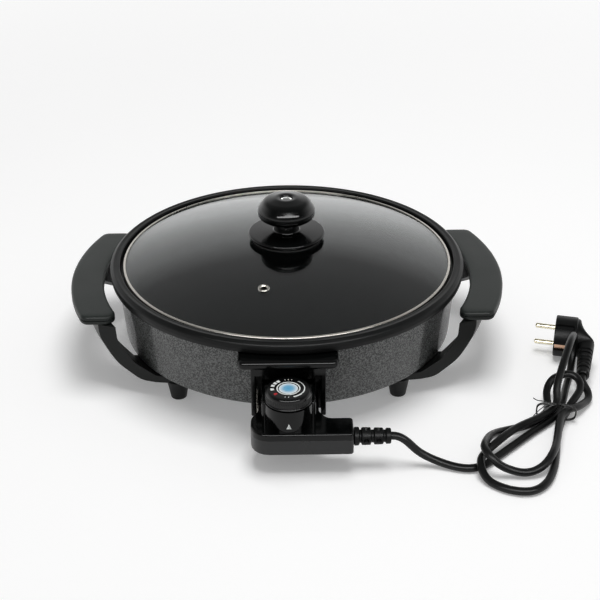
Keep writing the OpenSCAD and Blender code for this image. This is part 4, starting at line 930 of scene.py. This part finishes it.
eyelet_line = evenly(rounded([
    [2.8, -4.9, 0.3], [5.2, -4.9, 0.3], [5.2, -4.12, 0.05], [4.0, -4.12, 0.05], [4.0, 0.12, 0.05],
    [5.6, 0.12, 0.3], [5.0, 1.3, 0.6], [3.6, 1.4, 0.6], [2.8, 0.4, 0.5],
], steps=4), 0.8)
eyelet_tilt = math.asin(EYELET_DIST / SPHERE)
eyelet_rings = turned(eyelet_line, 64)
eyelet_turn = np.array(Matrix.Rotation(EYELET_ANGLE, 3, "Z")
                       @ Matrix.Rotation(eyelet_tilt, 3, "Y"))
eyelet_place = np.array([EYELET_DIST * math.cos(EYELET_ANGLE),
                         EYELET_DIST * math.sin(EYELET_ANGLE), float(dome(EYELET_DIST))])
spun_steel = finish("spun_steel", "c9c6bf", 0.22, metal=1.0, patch=0.06, patch_mm=4, rub=0.06,
                    grain=0.02, grain_mm=0.3)
piece("eyelet_ring", [shell(eyelet_rings @ eyelet_turn.T + eyelet_place, loop=True)],
      spun_steel, "lid", "bright_steel", "steam_eyelet", crease=40)

# ---- Knob ------------------------------------------------------------------------------------
# Two black phenolic turnings on one screw: a flat disc on a low foot, which spreads the load on
# the glass and rises into a neck, and a mushroom head with a dimple for the screw's head.

KNOB_TOP = APEX_Z + 41
KNOB_UNDER = KNOB_TOP - 24
knob_black = finish("knob_phenolic", "070808", 0.1, patch=0.08, patch_mm=20, rub=0.03,
                    grain=0.02, grain_mm=1.6, shine=0.3)
knob_foot_line = evenly(rounded([
    [3.2, APEX_Z + 1.1, 0.05], [32.5, dome(32.5) + 1.02, 0.1], [32.8, APEX_Z + 2.2, 1.0],
    [35.4, APEX_Z + 2.9, 0.8], [36.6, APEX_Z + 3.6, 0.9], [36.4, APEX_Z + 5.6, 1.4],
    [24.0, APEX_Z + 6.3, 10.0], [12.4, APEX_Z + 7.0, 1.5], [11.5, KNOB_UNDER - 0.02, 0.5],
    [3.2, KNOB_UNDER - 0.02, 0.05],
], steps=8), 2.0)
piece("knob_skirt", [shell(turned(knob_foot_line, 128), loop=True)], knob_black,
      "lid", "bakelite_gloss", "knob_foot", crease=45)
knob_head_line = evenly(rounded([
    [2.7, KNOB_UNDER + 0.03, 0.05], [19.0, KNOB_UNDER + 0.03, 5.0],
    [27.2, KNOB_UNDER + 5.5, 5.0], [27.2, KNOB_UNDER + 13, 9.5], [21.5, KNOB_TOP - 2.6, 8.0],
    [9.0, KNOB_TOP, 12.0], [6.2, KNOB_TOP - 0.6, 1.2], [5.0, KNOB_TOP - 3.5, 1.2],
    [2.7, KNOB_TOP - 3.5, 0.05],
], steps=9), 1.8)
piece("knob_cap", [shell(turned(knob_head_line, 128), loop=True)], knob_black,
      "lid", "bakelite_gloss", "knob_head", crease=45)


def slotted_head(radius, height, slot, depth):
    """A domed screw head as a grid of polar rings, sunk by depth wherever |y| is under half the
    slot, with steep walls that follow the slot's two lines."""
    share = np.concatenate([np.linspace(0.02, 0.9, 22), [0.95, 0.98, 1.0]])[:, None]
    angle = circle(96)
    x, y = radius * share * np.cos(angle), radius * share * np.sin(angle)
    z = height - 0.9 * share**3 - depth * ramp(slot / 2 + 0.12 - np.abs(y), 0, 0.24)
    return np.concatenate([np.stack([x, y, z], -1), around(radius, angle, 0.0)])


knob_screw_rings = slotted_head(4.6, 2.6, 1.1, 1.0) + (0, 0, KNOB_TOP - 3.5 + 0.02)
shank = np.array([[0.05, KNOB_TOP - 3.3], [2.5, KNOB_TOP - 3.3], [2.5, KNOB_TOP - 38.0],
                  [2.0, KNOB_TOP - 39.5], [0.05, KNOB_TOP - 39.5]])
bright_screw = finish("bright_screw", "cccdcb", 0.2, metal=1.0, patch=0.05, patch_mm=3,
                      rub=0.06, grain=0.02, grain_mm=0.25)
piece("knob_screw_head", [shell(knob_screw_rings), shell(turned(shank, 32))],
      bright_screw, "lid", "zinc_steel", "knob_screw", crease=35)
gasket_black = finish("gasket_rubber", "1c1d1d", 0.7, patch=0.1, patch_mm=6, rub=0.06,
                      grain=0.04, grain_mm=0.4)
dress(gasket_black, "knob_gasket")
dress(zinc, "knob_washer", "knob_nut")

# ---- Inner pieces that show through gaps and from below --------------------------------------
# Base plate and heater under the pan, terminal pins and blade in the socket, and the brass and
# ceramic pieces of the thermostat, each in its own metal or body; the earth springs alone take
# the heater's dark metal, as painted shade where they show between the hood and the controller's
# nose.

for look, nodes in (
    # name, colour, roughness, metal, patch, patch_mm, rub, grain, grain_mm
    (("base_plate_alloy", "a9abad", 0.42, 1.0, 0.08, 40, 0.1, 0.03, 0.6), ["base_plate"]),
    # The earth springs share this dark metal as painted shade, not their own colour, so the gap
    # beside the nose stays dark.
    (("heater_dark_and_springs_shade", "5d5a55", 0.5, 1.0, 0.2, 12, 0.1, 0.05, 0.5),
     ["heating_tube", "earth_springs"]),
    (("pin_nickel", "cbc7bd", 0.22, 1.0, 0.06, 6, 0.06, 0.02, 0.4),
     ["terminal_pins", "probe_tube", "earth_blade"]),
    (("steatite", "e4dfd3", 0.55, 0.0, 0.06, 5, 0.08, 0.05, 0.4),
     ["pin_insulators", "contact_spacers"]),
    (("strip_brass", "c39b52", 0.3, 1.0, 0.08, 8, 0.08, 0.02, 0.4),
     ["pin_sockets", "contact_blades", "dial_shaft"]),
    (("frame_steel", "aeb0b1", 0.36, 1.0, 0.07, 8, 0.08, 0.03, 0.4), ["thermostat_frame"]),
):
    dress(finish(*look), *nodes)
dress(case_satin, "cord_clamp")

# ---- Floor, lamps and surroundings -----------------------------------------------------------
# A white floor that keeps the soft shadow, with a painted glow for camera, glossy and
# transmission rays that grows with distance from the object and lifts the floor further off to an
# even white, one large soft lamp overhead, a wide panel in front that only shows in glossy edges,
# and surroundings that are bright low down at the back and dim overhead and in front.

floor_mesh = bpy.data.meshes.new("floor")
floor_mesh.from_pydata([(-4, -4, 0), (4, -4, 0), (4, 4, 0), (-4, 4, 0)], [], [(0, 1, 2, 3)])
floor = bpy.data.objects.new("floor", floor_mesh)
bpy.context.scene.collection.objects.link(floor)
floor_white = finish("floor_white", "f4f4f4", 0.9, patch=0.004, patch_mm=400, rub=0.02,
                     grain=0.0)
floor_tree = floor_white.node_tree
floor_ray = add(floor_tree, "LightPath").outputs
seen_far = add(floor_tree, "Math", {0: floor_ray["Is Glossy Ray"],
                                    1: floor_ray["Is Transmission Ray"]}, operation="MAXIMUM")
seen = add(floor_tree, "Math", {0: floor_ray["Is Camera Ray"], 1: seen_far.outputs[0]},
           operation="MAXIMUM")
far_off = add(floor_tree, "VectorMath", {0: object_place(floor_tree)}, operation="LENGTH")
# Painted light: the glow rises from 0.2 near the object to 0.62 far off, so the floor further
# away is painted brighter.
painted_far_glow = add(floor_tree, "MapRange", {
    "Value": far_off.outputs["Value"], "From Min": 0.3, "From Max": 2.4, "To Min": 0.2,
    "To Max": 0.62}, interpolation_type="SMOOTHSTEP")
glow = add(floor_tree, "Math", {0: seen.outputs[0], 1: painted_far_glow.outputs["Result"]},
           operation="MULTIPLY")
fill(floor_tree, floor_tree.nodes["Principled BSDF"], {
    "Emission Color": (1, 1, 1, 1), "Emission Strength": glow.outputs[0],
    "Specular IOR Level": 0.1})
floor_mesh.materials.append(floor_white)


def lamp_panel(name, width, depth, power, stands, aims):
    """A flat rectangular lamp that faces a point."""
    light = bpy.data.lights.new(name, "AREA")
    light.shape = "RECTANGLE"
    light.size, light.size_y, light.energy = width, depth, power
    made = bpy.data.objects.new(name, light)
    facing = (Vector(stands) - Vector(aims)).to_track_quat("Z", "Y")
    made.matrix_world = Matrix.LocRotScale(Vector(stands), facing, None)
    bpy.context.scene.collection.objects.link(made)
    return made


soft_lamp = lamp_panel("soft_lamp", 1.1, 0.9, 22, (0.15, -0.05, 1.9), (0, 0, 0.06))
soft_lamp.visible_glossy = False
soft_lamp.visible_transmission = False
long_lamp = lamp_panel("long_lamp", 3.0, 0.45, 50, (0.15, -1.4, 1.15), (0, -0.1, 0.08))
long_lamp.visible_diffuse = False

world = bpy.data.worlds.new("surroundings")
world.use_nodes = True
bpy.context.scene.world = world
sky = world.node_tree
heading = add(sky, "SeparateXYZ", {0: add(sky, "TexCoord").outputs["Generated"]}).outputs


def grey(level):
    """A colour of one level in red, green and blue."""
    return (level, level, level, 1)


def surround(*stops):
    """Grey levels by height: each stop is the upward part of a direction and its level."""
    return graded(sky, heading["Z"], *((height, grey(level)) for height, level in stops))


def either(first, second, factor):
    """The second colour where the factor is one, and the first where it is none."""
    return add(sky, "Mix", {"Factor": factor, 6: first, 7: second},
               data_type="RGBA").outputs[2]


behind = surround((0.0, 1.3), (1.0, 0.2), (0.16, 1.3), (0.21, 1.2), (0.44, 0.8), (0.57, 0.38),
                  (0.73, 0.3))
before = surround((0.0, 0.35), (1.0, 0.2), (0.3, 0.12), (0.6, 0.1))
side = add(sky, "MapRange", {"Value": heading["Y"], "From Min": -0.35, "From Max": 0.3})
world_ray = add(sky, "LightPath").outputs
level = either(before, behind, side.outputs["Result"])
level = either(level, grey(0.31), world_ray["Is Diffuse Ray"])
level = either(level, grey(1), world_ray["Is Camera Ray"])
fill(sky, sky.nodes["Background"], {"Color": level, "Strength": 1.0})

bpy.context.scene.view_settings.view_transform = "Standard"
